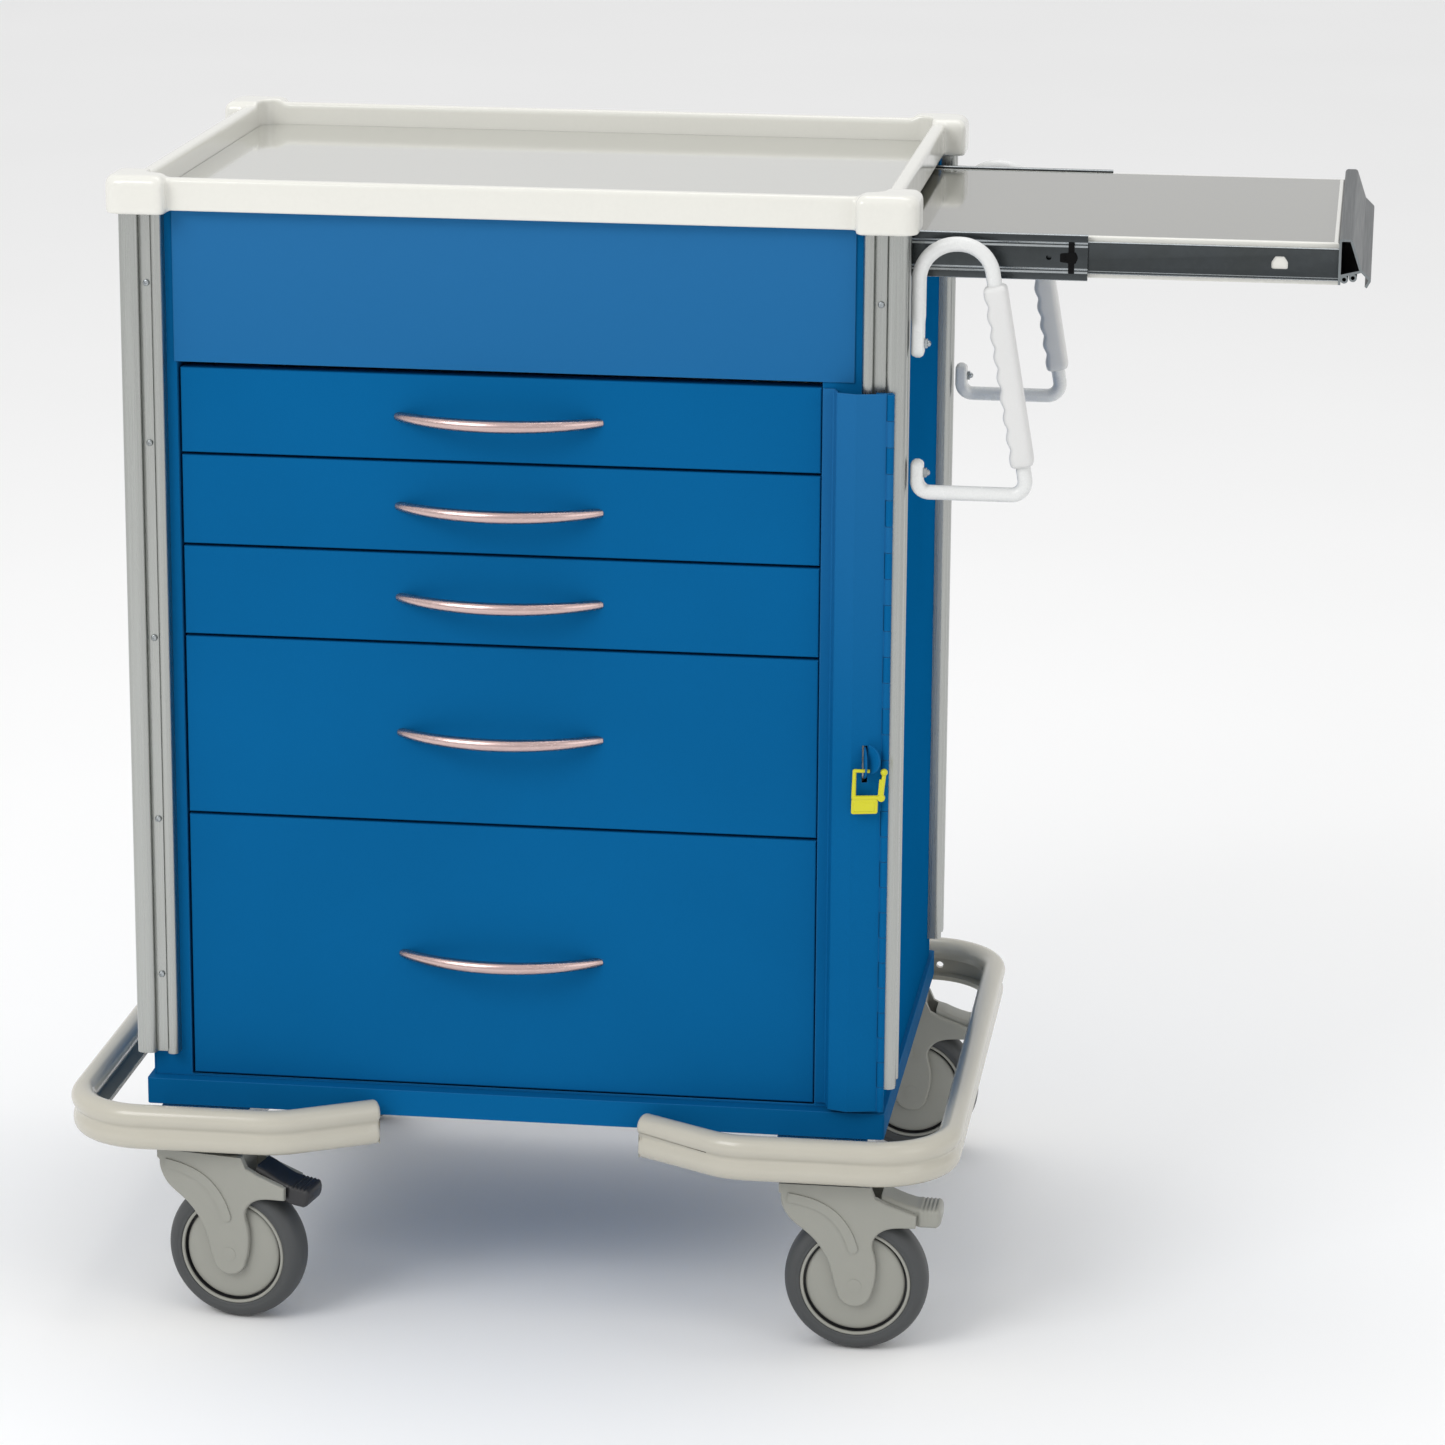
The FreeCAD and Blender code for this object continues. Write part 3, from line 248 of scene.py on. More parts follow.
def laminate(name, colour, coat=0.9):
    """Glossy laminate sheet with a very fine printed speckle."""
    s = Surface(name, 0.05, coat=coat)
    speck = s.ramp(s.noise(2200.0, 1.0), shade(colour, 0.94), shade(colour, 1.05))
    cloud = s.ramp(s.noise(6.0, 2.0), GREY_LOW, GREY_HIGH)
    s.colour(s.mix(1.0, speck, cloud, "MULTIPLY"))
    s.gloss(s.noise(30.0, 3.0), 0.03, 0.08)
    s.bump(s.noise(90.0, 1.0), 0.002)
    return s.material


def make_materials():
    blue = srgb(7, 91, 144)
    return {
        "blue_paint": powder_coat("blue_powder_coat", blue, 0.6, sheen=0.02),
        # Painted sheen: the header and lock bar turn paler towards the top.
        "blue_sheen_front": powder_coat("blue_cover_painted_sheen", blue, 0.55, sheen=0.02,
                                  upper=srgb(38, 103, 155)),
        # Painted shade: a darker copy of the blue, without sheen, for the side panels.
        "blue_shaded_side": powder_coat("blue_panel_painted_shade", srgb(4, 87, 140), 0.7, sheen=0.0, wear=0.1),
        "grey_paint": powder_coat("grey_powder_coat", srgb(196, 198, 197), 0.45, wear=0),
        "white_enamel": powder_coat("white_enamel", srgb(222, 223, 222), 0.26, peel=0.006,
                                    wear=0),
        "satin_aluminium": drawn_metal("satin_aluminium", srgb(172, 174, 171), 0.27, "z",
                                       spread=0.04),
        "dark_aluminium": drawn_metal("dark_aluminium", srgb(72, 77, 80), 0.36, "y"),
        "cut_aluminium": drawn_metal("cut_aluminium", srgb(132, 138, 140), 0.3, "z"),
        "brushed_pull": drawn_metal("brushed_pull", srgb(205, 180, 176), 0.24, "x"),
        "zinc_steel": zinc_plate("zinc_plated_steel", srgb(168, 173, 176), 0.26),
        # Painted shade: a darker copy of the zinc for the slides' flat webs.
        "zinc_shaded_web": zinc_plate("zinc_web_painted_shade", srgb(72, 76, 78), 0.2),
        "cream_plastic": moulded("cream_plastic", srgb(222, 221, 214), 0.16, grain=300.0,
                                 depth=0.001, spread=0.008, coat=0.3),
        "grey_laminate": laminate("grey_laminate", srgb(106, 106, 97), coat=0.3),
        "tray_laminate": laminate("tray_laminate", srgb(162, 162, 153)),
        "bumper_vinyl": moulded("bumper_vinyl", srgb(187, 183, 170), 0.24, depth=0.003, coat=0.2),
        "white_grip": moulded("white_grip", srgb(214, 214, 213), 0.4, depth=0.012),
        "grey_nylon": moulded("grey_nylon", srgb(150, 150, 142), 0.42, depth=0.014),
        # Also used as painted shade at the floor of the hubs' gaps.
        "black_plastic": moulded("black_plastic", srgb(38, 38, 40), 0.4, depth=0.02),
        "lever_plastic": moulded("lever_plastic", srgb(9, 9, 10), 0.6, depth=0.01, specular=0.1),
        "grey_tyre": moulded("grey_tyre", srgb(66, 68, 69), 0.55, depth=0.012, spread=0.05),
        "yellow_plastic": moulded("yellow_plastic", srgb(202, 198, 22), 0.3, depth=0.008),
    }


MATERIALS = make_materials()

# Nodes whose colour differs a little from the rest of their slot: painted sheen on the front covers, painted shade
# on the side panels, and the tray's own laminate.
FINISH_AND_PAINTED_LIGHT = {
    "header_panel": "blue_sheen_front",
    "lock_bar": "blue_sheen_front",
    "left_side_panel": "blue_shaded_side",
    "right_side_panel": "blue_shaded_side",
    "top_surface": "tray_laminate",
}


def paint_nodes():
    """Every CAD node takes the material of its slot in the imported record."""
    for name, node in NODES.items():
        node.data.materials.clear()
        node.data.materials.append(MATERIALS[FINISH_AND_PAINTED_LIGHT.get(name, SLOTS[name])])


# ---- mesh helpers, in millimetres
def corners(node):
    """Lowest and highest corner of a CAD node."""
    low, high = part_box(node)
    return low / MM, high / MM


def bend(points, radius, steps, closed=False):
    """Straight runs through points with a tangent arc at each corner. radius is one value
    or one for each point."""
    points = [Vector(p) for p in points]
    count = len(points)
    line = []
    for index, corner in enumerate(points):
        here = radius[index] if isinstance(radius, (list, tuple)) else radius
        if here == 0 or (not closed and index in (0, count - 1)):
            line.append(corner)
            continue
        back = (points[index - 1] - corner).normalized()
        ahead = (points[(index + 1) % count] - corner).normalized()
        half = back.angle(ahead) / 2
        centre = corner + (back + ahead).normalized() * (here / math.sin(half))
        first = corner + back * (here / math.tan(half)) - centre
        last = corner + ahead * (here / math.tan(half)) - centre
        turn = math.pi - 2 * half
        for step in range(steps + 1):
            share = step / steps
            arm = first * math.sin((1 - share) * turn) + last * math.sin(share * turn)
            line.append(centre + arm / math.sin(turn))
    return line


def divided(line, pitch):
    """The same line with extra points, no further apart than pitch."""
    dense = []
    for start, end in zip(line, line[1:]):
        parts = max(1, math.ceil((end - start).length / pitch))
        dense += [start.lerp(end, part / parts) for part in range(parts)]
    return dense + [line[-1]]


def thicken(line, thickness):
    """The closed outline of a sheet whose mid-line is a 2-D line."""
    line = [Vector(p) for p in line]
    upper, lower = [], []
    for index, place in enumerate(line):
        before = (place - line[index - 1]).normalized() if index else None
        after = (line[index + 1] - place).normalized() if index + 1 < len(line) else None
        first, second = before or after, after or before
        lean = first + second
        side = Vector((-lean.y, lean.x)) * (thickness / 2 / (1 + first.dot(second)))
        upper.append(place + side)
        lower.append(place - side)
    return upper + lower[::-1]


def rectangle(low, high, radius, steps=8):
    """A flat rounded rectangle between two corners."""
    points = [(low.x, low.y), (high.x, low.y), (high.x, high.y), (low.x, high.y)]
    return bend(points, radius, steps, closed=True)


def ring_points(half_width, half_height, radius, steps):
    """A rounded rectangle round the origin."""
    far = Vector((half_width, half_height))
    return rectangle(-far, far, radius, steps)


def circle(radius, count):
    turns = [2 * math.pi * k / count for k in range(count)]
    return [Vector((radius * math.cos(t), radius * math.sin(t))) for t in turns]


def skin(rings, closed=False):
    """Faces between equal rings of points, with a flat cap at each open end."""
    size, count = len(rings[0]), len(rings)
    verts = [point for ring in rings for point in ring]
    faces = []
    for index in range(count if closed else count - 1):
        a, b = index * size, (index + 1) % count * size
        faces += [(a + k, a + (k + 1) % size, b + (k + 1) % size, b + k) for k in range(size)]
    if not closed:
        faces.append(tuple(reversed(range(size))))
        faces.append(tuple(range((count - 1) * size, count * size)))
    return verts, faces


def sweep(path, normal, section):
    """A tube along a path that lies flat across normal. section(share of the length) gives
    its points as (aside, along normal)."""
    normal = Vector(normal)
    run = [0.0]
    for start, end in zip(path, path[1:]):
        run.append(run[-1] + (end - start).length)
    rings = []
    for index, place in enumerate(path):
        before = path[max(index - 1, 0)]
        after = path[min(index + 1, len(path) - 1)]
        aside = (after - before).normalized().cross(normal)
        points = section(run[index] / run[-1])
        rings.append([place + aside * u + normal * v for u, v in points])
    return skin(rings)


def lathe(profile, centre, axis, count):
    """A closed profile of (radius, distance along the axis) turned round an axis."""
    axis = Vector(axis).normalized()
    aside = axis.orthogonal().normalized()
    other = axis.cross(aside)
    rings = []
    for step in range(count):
        turn = 2 * math.pi * step / count
        out = aside * math.cos(turn) + other * math.sin(turn)
        rings.append([Vector(centre) + out * r + axis * along for r, along in profile])
    return skin(rings, closed=True)


def extrude(outline, place, depth):
    """An outline of 2-D points swept by a vector; place(u, v) puts a point in space."""
    near = [place(u, v) for u, v in outline]
    return skin([near, [point + Vector(depth) for point in near]])


def add(name, data):
    made = bpy.data.objects.new(name, data)
    bpy.context.scene.collection.objects.link(made)
    return made


def piece(name, shells, body, slot, stands_for=(), crease=35.0, round_mm=0.0):
    """A mesh made of (points in mm, faces) shells. It rides on body and wears slot."""
    work = bmesh.new()
    for verts, faces in shells:
        made = [work.verts.new(Vector(v) * MM) for v in verts]
        for face in faces:
            work.faces.new([made[index] for index in face])
        bmesh.ops.remove_doubles(work, verts=made, dist=1e-7)
    bmesh.ops.recalc_face_normals(work, faces=work.faces)
    mesh = bpy.data.meshes.new(name)
    work.to_mesh(mesh)
    work.free()
    mesh.shade_smooth()
    mesh.materials.append(MATERIALS[slot])
    made = add(name, mesh)
    if round_mm:
        soften(made, round_mm, crease)
    else:
        mesh.set_sharp_from_angle(angle=math.radians(crease))
    if body is not None:
        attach(made, body)
    if stands_for:
        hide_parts(*stands_for)
    return made


def soften(thing, radius_mm, crease=35.0):
    """Rounds the hard edges of a mesh."""
    edge = thing.modifiers.new("rounded_edges", "BEVEL")
    edge.width = radius_mm * MM
    edge.segments = 2
    edge.limit_method = "ANGLE"
    edge.angle_limit = math.radians(crease)
    edge.miter_outer = "MITER_ARC"
    even = thing.modifiers.new("even_shading", "WEIGHTED_NORMAL")
    even.keep_sharp = True


def soften_node(name, radius_mm):
    """Rounds a CAD node's hard edges, after joining its faces along flat stretches."""
    node = NODES[name]
    join = node.modifiers.new("joined", "WELD")
    join.merge_threshold = 1e-6
    flat = node.modifiers.new("flat_faces", "DECIMATE")
    flat.decimate_type = "DISSOLVE"
    flat.angle_limit = math.radians(0.4)
    soften(node, radius_mm)


def settle(thing):
    """Keeps what the modifiers make as the piece's own mesh."""
    graph = bpy.context.evaluated_depsgraph_get()
    made = bpy.data.meshes.new_from_object(thing.evaluated_get(graph))
    thing.modifiers.clear()
    thing.data = made


def drill(thing, shells):
    """Cuts closed shells out of a piece."""
    cutter = piece("cutter", shells, None, "zinc_steel")
    cut = thing.modifiers.new("holes", "BOOLEAN")
    cut.operation = "DIFFERENCE"
    cut.solver = "EXACT"
    cut.object = cutter
    settle(thing)
    bpy.data.objects.remove(cutter)


# ---- drawers
PULL_MIDDLE, PULL_END = 5.3, 3.8  # half thickness of a drawer pull, in mm
PULL_OVERRUN = 1.04  # its arc runs on into the drawer's face by this factor
PULL_STEPS = 56


def drawer_pulls():
    """Bowed rods, thickest in the middle, whose ends run into the drawer's face."""
    for number in DRAWERS:
        node = f"drawer_{number}_handle"
        low, high = corners(node)
        centre = (low + high) / 2
        thick = (high.z - low.z) / 2
        rise = high.y - low.y - thick
        half = (high.x - low.x) / 2 - 2 * PULL_END
        bow = (half ** 2 + rise ** 2) / (2 * rise)
        reach = math.asin(half / bow) * PULL_OVERRUN
        path = []
        for step in range(PULL_STEPS + 1):
            turn = reach * (2 * step / PULL_STEPS - 1)
            x = centre.x + bow * math.sin(turn)
            path.append(Vector((x, high.y - rise + bow * (1 - math.cos(turn)), centre.z)))

        def section(share):
            swell = math.sin(math.pi * share) ** 0.7 if 0 < share < 1 else 0.0
            return circle(PULL_END + (PULL_MIDDLE - PULL_END) * swell, 28)

        piece(f"drawer_{number}_pull", [sweep(path, (0, 0, 1), section)],
              f"drawer_{number}", "brushed_pull", [node])


# ---- casters
# Upper half of a hub's section, from the axle out: (radius, distance from the middle).
HUB_HALF = ((6.3, 15.0), (9.0, 15.5), (14.0, 15.5), (22.0, 15.2), (30.0, 14.5), (36.0, 13.5),
            (39.4, 12.6), (40.7, 12.0), (41.3, 11.0), (41.5, 9.0), (43.0, 9.0), (43.2, 13.6),
            (43.6, 15.0), (44.6, 15.4), (45.6, 15.0), (46.1, 14.2))
GAP_FROM, GAP_TO, GAP_FLOOR = 41.3, 43.2, 12.0  # radii of the gap painted dark as shade, and its depth
TYRE_SEAT, TYRE_SIDE, TYRE_CROWN, TYRE_STEPS = 46.0, 51.0, 15.9, 18


def spun(half):
    """A whole section from its upper half."""
    return list(half) + [(radius, -along) for radius, along in reversed(half)]


def tyre_half(outer):
    half = [(TYRE_SEAT, 14.3), (TYRE_SEAT + 0.5, 15.1), (TYRE_SEAT + 1.6, 15.6),
            (TYRE_SEAT + 2.6, 15.3), (TYRE_SEAT + 3.4, 15.7)]
    for step in range(TYRE_STEPS):
        turn = math.pi / 2 * step / TYRE_STEPS
        along = TYRE_CROWN * math.cos(turn) ** 0.75
        half.append((TYRE_SIDE + (outer - TYRE_SIDE) * math.sin(turn) ** 1.1, along))
    return half


def joint_line(name):
    """A joint's axis, and the point it turns about in mm."""
    joint = JOINTS[name]
    return Vector(joint["axis"]), Vector(joint["pos_m"]) / MM


def wheels():
    for name in CASTERS:
        axis, centre = joint_line(f"caster_{name}_wheel_turn")
        outer = centre.z - corners(f"caster_{name}_tyre")[0].z
        body = f"caster_{name}_wheel"
        piece(f"caster_{name}_tread", [lathe(spun(tyre_half(outer)), centre, axis, 128)],
              body, "grey_tyre", [f"caster_{name}_tyre"], crease=50)
        hub = piece(f"caster_{name}_wheel_hub", [lathe(spun(HUB_HALF), centre, axis, 128)],
                    body, "grey_nylon", [f"caster_{name}_hub"], crease=50)
        paint_gap_shade(hub, centre, axis)


def paint_gap_shade(hub, centre, axis):
    """Painted shade: the faces at the floor of the gap between a hub's disc and its rim ring take the black
    plastic.
    """
    hub.data.materials.append(MATERIALS["black_plastic"])
    for face in hub.data.polygons:
        arm = face.center - centre * MM
        along = arm.dot(axis)
        radius = (arm - axis * along).length
        if GAP_FROM - 0.01 < radius / MM < GAP_TO and abs(along) < GAP_FLOOR * MM:
            face.material_index = 1


# A pedal's side view: (distance ahead of its pin, underside, top), in mm.
PEDAL_STATIONS = ((-7.0, 3.0, 18.0), (0.0, -4.3, 16.0), (6.0, -5.4, 13.4), (13.0, -6.5, 10.8),
                  (20.0, -7.6, 8.9), (24.0, -8.4, 8.4), (38.0, -8.6, 8.2), (41.0, -6.8, 7.0),
                  (42.4, -4.0, 4.4))
PEDAL_WIDTH, PEDAL_CORNER = 15.2, 3.6  # half width and the section's corner radius
PEDAL_TIP = 40.0  # the sides draw in from here on
FLARE_START, FLARE_RUN, FLARE = 22.0, 3.0, 1.2
RIB_START, RIB_PITCH, RIB_COUNT, RIB_DEPTH = 25.5, 3.3, 4, 0.9
PLAIN_STEP, RIBBED_STEP = 0.8, 0.4
# (slope in degrees, slot): one pedal is black and slopes more than the others.
PEDAL_KINDS = {name: (0.0, "grey_nylon") for name in CASTERS}
PEDAL_KINDS["front_left"] = (8.0, "black_plastic")


def between(stations, x):
    """(low, high) at x along stations of (x, low, high)."""
    for (x0, a0, b0), (x1, a1, b1) in zip(stations, stations[1:]):
        if x <= x1:
            share = (x - x0) / (x1 - x0)
            return a0 + (a1 - a0) * share, b0 + (b1 - b0) * share
    return stations[-1][1:]


def pedals():
    for name in CASTERS:
        across, pivot = joint_line(f"caster_{name}_pedal_press")
        slope, slot = PEDAL_KINDS[name]
        ahead = across.cross(Vector((0, 0, 1)))
        ahead = Matrix.Rotation(math.radians(slope), 3, across) @ ahead
        rise = ahead.cross(across)
        rings = []
        x = PEDAL_STATIONS[0][0]
        while x <= PEDAL_STATIONS[-1][0]:
            low, high = between(PEDAL_STATIONS, x)
            groove = 0.0
            ribbed = RIB_START <= x <= RIB_START + RIB_PITCH * RIB_COUNT
            if ribbed:
                wave = math.cos(2 * math.pi * (x - RIB_START) / RIB_PITCH)
                groove = RIB_DEPTH * (1 - wave) / 2
            flare = FLARE * min(1.0, max(0.0, (x - FLARE_START) / FLARE_RUN))
            width = PEDAL_WIDTH + flare - max(0.0, x - PEDAL_TIP)
            middle, half = (low + high - groove) / 2, (high - low - groove) / 2
            ring = ring_points(width, half, min(PEDAL_CORNER, half - 0.3), 4)
            rings.append([pivot + ahead * x + across * u + rise * (middle + v) for u, v in ring])
            x += RIBBED_STEP if ribbed else PLAIN_STEP
        piece(f"caster_{name}_foot_pedal", [skin(rings)], f"caster_{name}_brake", slot,
              [f"caster_{name}_pedal"], crease=40)


# ---- push handles
TUBE = 6.0  # radius of a handle's tube, in mm
PAD_THICK, PAD_WIDE = 5.0, 8.2  # half sizes of a tube's flattened end
PAD_LENGTH, PAD_BLEND, PAD_CORNER = 24.0, 10.0, 2.6
PAD_TAPER, PAD_EDGE = 4.0, 0.35  # a pad thins to this share over its last stretch
CIRCLE_TURN = math.radians(-142.5)  # brings a circle's first point to a pad's first corner
PLANE_INSET = 8.0  # of a handle's plane, from the pair's sides
STAND_OFF, LOOP, LEAN_OUT = 7.0, 30.0, 30.0
UPPER_LEG, LOWER_LEG = 92.0, 27.0  # lengths of the legs that lie on the post
HANDLE_TURNS = (0, LOOP - 0.1, LOOP - 3, 11.0, 10.0, 0)
GRIP_WIDE, GRIP_DEEP, GRIP_CORNER = 9.5, 10.5, 5.2
GRIP_WAVES, GRIP_DIP, GRIP_PLAIN = 8, 2.0, 0.05  # scallops, their depth, the plain end's share
GRIP_NOSE, GRIP_BLUNT = 5.0, 0.74  # a grip's end draws in to this share
GRIP_SETBACK, GRIP_STEPS = 1.5, 150
GRIP_INSIDE = -1.0  # sign of the sweep's side that faces the cabinet


def handle_planes():
    low, high = corners("push_handles")
    return low.y + PLANE_INSET, high.y - PLANE_INSET


def handle_corners(plane):
    """Corners of a handle's centre line in its upright plane, from its top end."""
    low, high = corners("push_handles")
    left, top, bottom = low.x + STAND_OFF, high.z - TUBE, low.z + TUBE
    right, outer = left + 2 * LOOP, left + 2 * LOOP + LEAN_OUT
    slope = LEAN_OUT / (top - LOOP - bottom)
    points = [(left, top - UPPER_LEG), (left, top), (right - slope * LOOP, top),
              (outer, bottom), (left + 1, bottom), (left + 1, bottom + LOWER_LEG)]
    return [Vector((x, plane, z)) for x, z in points]


def opening(distance, radius):
    """How wide a round nose is at a distance from its tip, as a share of its full width."""
    return math.sqrt(max(0.0, 1 - (1 - min(1.0, distance / radius)) ** 2))


def flattened(distance):
    """Section of the tube at a distance from its end: a flat pad that turns round."""
    blend = min(1.0, max(0.0, (distance - PAD_LENGTH) / PAD_BLEND))
    blend = blend * blend * (3 - 2 * blend)
    wide = PAD_WIDE * max(math.sqrt(0.02), opening(distance, PAD_WIDE))
    thick = PAD_THICK * max(PAD_EDGE, opening(distance, PAD_TAPER))
    pad = ring_points(thick, wide, min(PAD_CORNER, thick * 0.8, wide * 0.8), 5)
    return [flat.lerp(turned(full, CIRCLE_TURN), blend)
            for flat, full in zip(pad, circle(TUBE, 24))]


def turned(point, angle):
    c, s = math.cos(angle), math.sin(angle)
    return Vector((point.x * c - point.y * s, point.x * s + point.y * c))


def push_handles():
    shells = []
    for plane in handle_planes():
        path = divided(bend(handle_corners(plane), HANDLE_TURNS, 14), 2.0)
        length = sum((b - a).length for a, b in zip(path, path[1:]))

        def section(share):
            along = share * length
            return flattened(min(along, length - along))

        shells.append(sweep(path, (0, 1, 0), section))
    piece("push_handle_tubes", shells, "cabinet", "white_enamel", ["push_handles"], crease=50)


def grips():
    """Moulded grips on the sloping runs: scalloped inside, smooth outside."""
    grip_low, grip_high = corners("handle_grips")
    shells = []
    for plane in handle_planes():
        line = handle_corners(plane)
        run = (line[3] - line[2]).normalized()
        top = line[2] + run * ((line[2].z - grip_high.z + GRIP_SETBACK) / -run.z)
        length = (grip_high.z - grip_low.z - 2 * GRIP_SETBACK) / -run.z
        path = [top + run * (length * step / GRIP_STEPS) for step in range(GRIP_STEPS + 1)]
        shells.append(sweep(path, (0, 1, 0), lambda share: grip_section(share, length)))
    piece("hand_grips", shells, "cabinet", "white_grip", ["handle_grips"], crease=60)


def grip_section(share, length):
    distance = min(share, 1 - share) * length
    nose = GRIP_BLUNT + (1 - GRIP_BLUNT) * opening(distance, GRIP_NOSE)
    dip = 0.0
    if GRIP_PLAIN < share < 1 - GRIP_PLAIN:
        wave = (share - GRIP_PLAIN) / (1 - 2 * GRIP_PLAIN) * GRIP_WAVES
        dip = GRIP_DIP * (1 - abs(math.cos(math.pi * wave)) ** 1.5)
    squeeze = 1 - dip / GRIP_WIDE
    ring = ring_points(GRIP_WIDE * nose, GRIP_DEEP * nose, GRIP_CORNER * nose, 6)
    return [Vector((u * squeeze if u * GRIP_INSIDE > 0 else u, v)) for u, v in ring]


# Bolts of a handle: (height below its top or above its bottom, out from its inner side).
UPPER_BOLT, LOWER_BOLT = (86.5, 10.4), (22.0, 11.4)
WASHER = ((0, 0), (4.6, 0), (5.0, 0.3), (5.0, 1.0), (4.7, 1.2), (0, 1.2))
DOME = ((0, 4.0), (2.4, 4.0), (2.5, 5.2), (1.9, 6.3), (0.8, 6.9), (0, 7.0))
NUT_RADIUS, NUT_THICK = 4.2, 3.0


def frame_bolts():
    """A washer, a hexagon nut and a domed end on each of the handles' pads."""
    shells = []
    low, high = corners("push_handles")
    places = ((high.z - UPPER_BOLT[0], low.x + UPPER_BOLT[1]),
              (low.z + LOWER_BOLT[0], low.x + LOWER_BOLT[1]))
    for plane in handle_planes():
        for height, face in places:
            centre = Vector((face, plane, height))
            nut = centre + Vector((WASHER[-1][1], 0, 0))
            shells.append(lathe(WASHER, centre, (1, 0, 0), 32))
            shells.append(lathe(DOME, centre, (1, 0, 0), 24))
            shells.append(extrude(circle(NUT_RADIUS, 6), lambda u, v: nut + Vector((0, u, v)),
                                  (NUT_THICK, 0, 0)))
    piece("handle_bolts", shells, "cabinet", "zinc_steel", ["frame_bolts"], round_mm=0.25)


# ---- seal and screws
# The padlock seal, in its own plane from the foot of its bar, in mm. Tag and panel: outline,
# corner radius, half thickness. Bars: both ends, and the radius at each.
SEAL_ORIGIN = (2.0, 37.3)
SEAL_PLATES = ((((-1.8, -37), (19.6, -35.6), (19.9, -24), (-1.6, -24)), 1.6, 5, 1.3),
               (((0.4, -34.6), (17.2, -33.4), (17.4, -26.4), (0.6, -26.4)), 1.0, 4, 1.9))
SEAL_BARS = (((-1.0, -23.4), (22.0, -22.2), 1.9, 1.9), ((0, -24), (0.6, 0.2), 1.9, 1.6),
             ((0.2, -0.6), (13.0, -0.4), 1.5, 1.5), ((22.6, -22.6), (24.6, -3.0), 1.7, 1.7),
             ((20.6, -21.5), (21.8, -7.0), 1.0, 1.0))
SEAL_BALL, SEAL_BALL_RADIUS = (24.6, -0.9), 3.0
SEAL_KNUCKLE = (22.6, -22.4)
KNUCKLE = ((0, -2.2), (2.9, -2.2), (3.1, 0), (2.9, 2.2), (0, 2.2))
SEAL_VOXEL = 0.28


def lock_seal():
    """Moulded padlock seal: ribbed tag, leg, bar through the hasp, hinged arm and ball."""
    low, high = corners("lock_seal")
    left, top = low.x + SEAL_ORIGIN[0], low.z + SEAL_ORIGIN[1]
    y = (low.y + high.y) / 2

    def at(x, z, out=0.0):
        return Vector((left + x, y + out, top + z))

    def bar(start, end, *radii):
        ahead = (end - start).normalized()
        aside = ahead.cross(Vector((0, 1, 0))).normalized()
        other = ahead.cross(aside)
        return skin([[place + aside * u + other * v for u, v in circle(radius, 20)]
                     for place, radius in zip((start, end), radii)])

    shells = [extrude(bend(outline, radius, steps, True), lambda u, v: at(u, v, -half),
                      (0, 2 * half, 0)) for outline, radius, steps, half in SEAL_PLATES]
    shells += [bar(at(*start), at(*end), *radii) for start, end, *radii in SEAL_BARS]
    turns = [k * math.pi / 12 for k in range(13)]
    ball = [(SEAL_BALL_RADIUS * math.sin(t), SEAL_BALL_RADIUS * math.cos(t)) for t in turns]
    shells.append(lathe(ball, at(*SEAL_BALL), (0, 1, 0), 24))
    shells.append(lathe(KNUCKLE, at(*SEAL_KNUCKLE), (0, 1, 0), 28))
    seal = piece("padlock_seal", shells, "lock_bar", "yellow_plastic", ["lock_seal"])
    fuse(seal, SEAL_VOXEL, 4)
    seal.modifiers["one_skin"].use_smooth_shade = True


def fuse(thing, voxel_mm, rounds):
    """Melts a piece's shells into one skin."""
    join = thing.modifiers.new("one_skin", "REMESH")
    join.mode = "VOXEL"
    join.voxel_size = voxel_mm * MM
    melt = thing.modifiers.new("soft", "SMOOTH")
    melt.factor = 0.5
    melt.iterations = rounds


HASP_ROOT = (13.6, 6.2, 46.0)  # from the seal's lowest corner
HASP_RADIUS, HASP_HALF, HASP_THICK, HASP_TURN = 11.5, 12.0, 1.6, 50


def hasp_tab():
    """Half-round tab that stands out of the bar's slot, turned to the right."""
    root = corners("lock_seal")[0] + Vector(HASP_ROOT)
    turn = math.radians(HASP_TURN)
    out = Vector((math.sin(turn), -math.cos(turn), 0))
    normal = Vector((math.cos(turn), math.sin(turn), 0))
    outline = [(0.0, -HASP_HALF)] + arc((1.0, 0.0), HASP_RADIUS, -84, 84, 20)
    outline.append((0.0, HASP_HALF))
    tab = piece("hasp_tab", [extrude(outline, lambda u, v: root + out * u + Vector((0, 0, v)),
                                     normal * HASP_THICK)],
                "lock_bar", "blue_paint", round_mm=0.35)
    settle(tab)


# A pan head with a hexagon socket: (radius, height) from its seat.
SCREW_HEAD = ((0, 0), (2.7, 0), (2.75, 0.9), (2.4, 1.7), (1.9, 2.0), (1.35, 2.0), (1.3, 0.8),
              (0, 0.7))


def post_screws():
    """A detailed head in the place of each CAD screw."""
    mesh = NODES["post_screws"].data
    post_low, post_high = corners("corner_posts")
    middle = (post_low + post_high) / 2
    shells = []
    for cluster in loose_parts(mesh):
        points = [mesh.vertices[index].co / MM for index in cluster]
        low = Vector([min(p[axis] for p in points) for axis in range(3)])
        high = Vector([max(p[axis] for p in points) for axis in range(3)])
        centre = (low + high) / 2
        thin = min(range(3), key=lambda axis: high[axis] - low[axis])
        out = Vector((0, 0, 0))
        out[thin] = math.copysign(1, centre[thin] - middle[thin])
        shells.append(lathe(SCREW_HEAD, centre - out * (high[thin] - low[thin]) / 2, out, 28))
    piece("post_screw_heads", shells, "cabinet", "zinc_steel", ["post_screws"], crease=40)


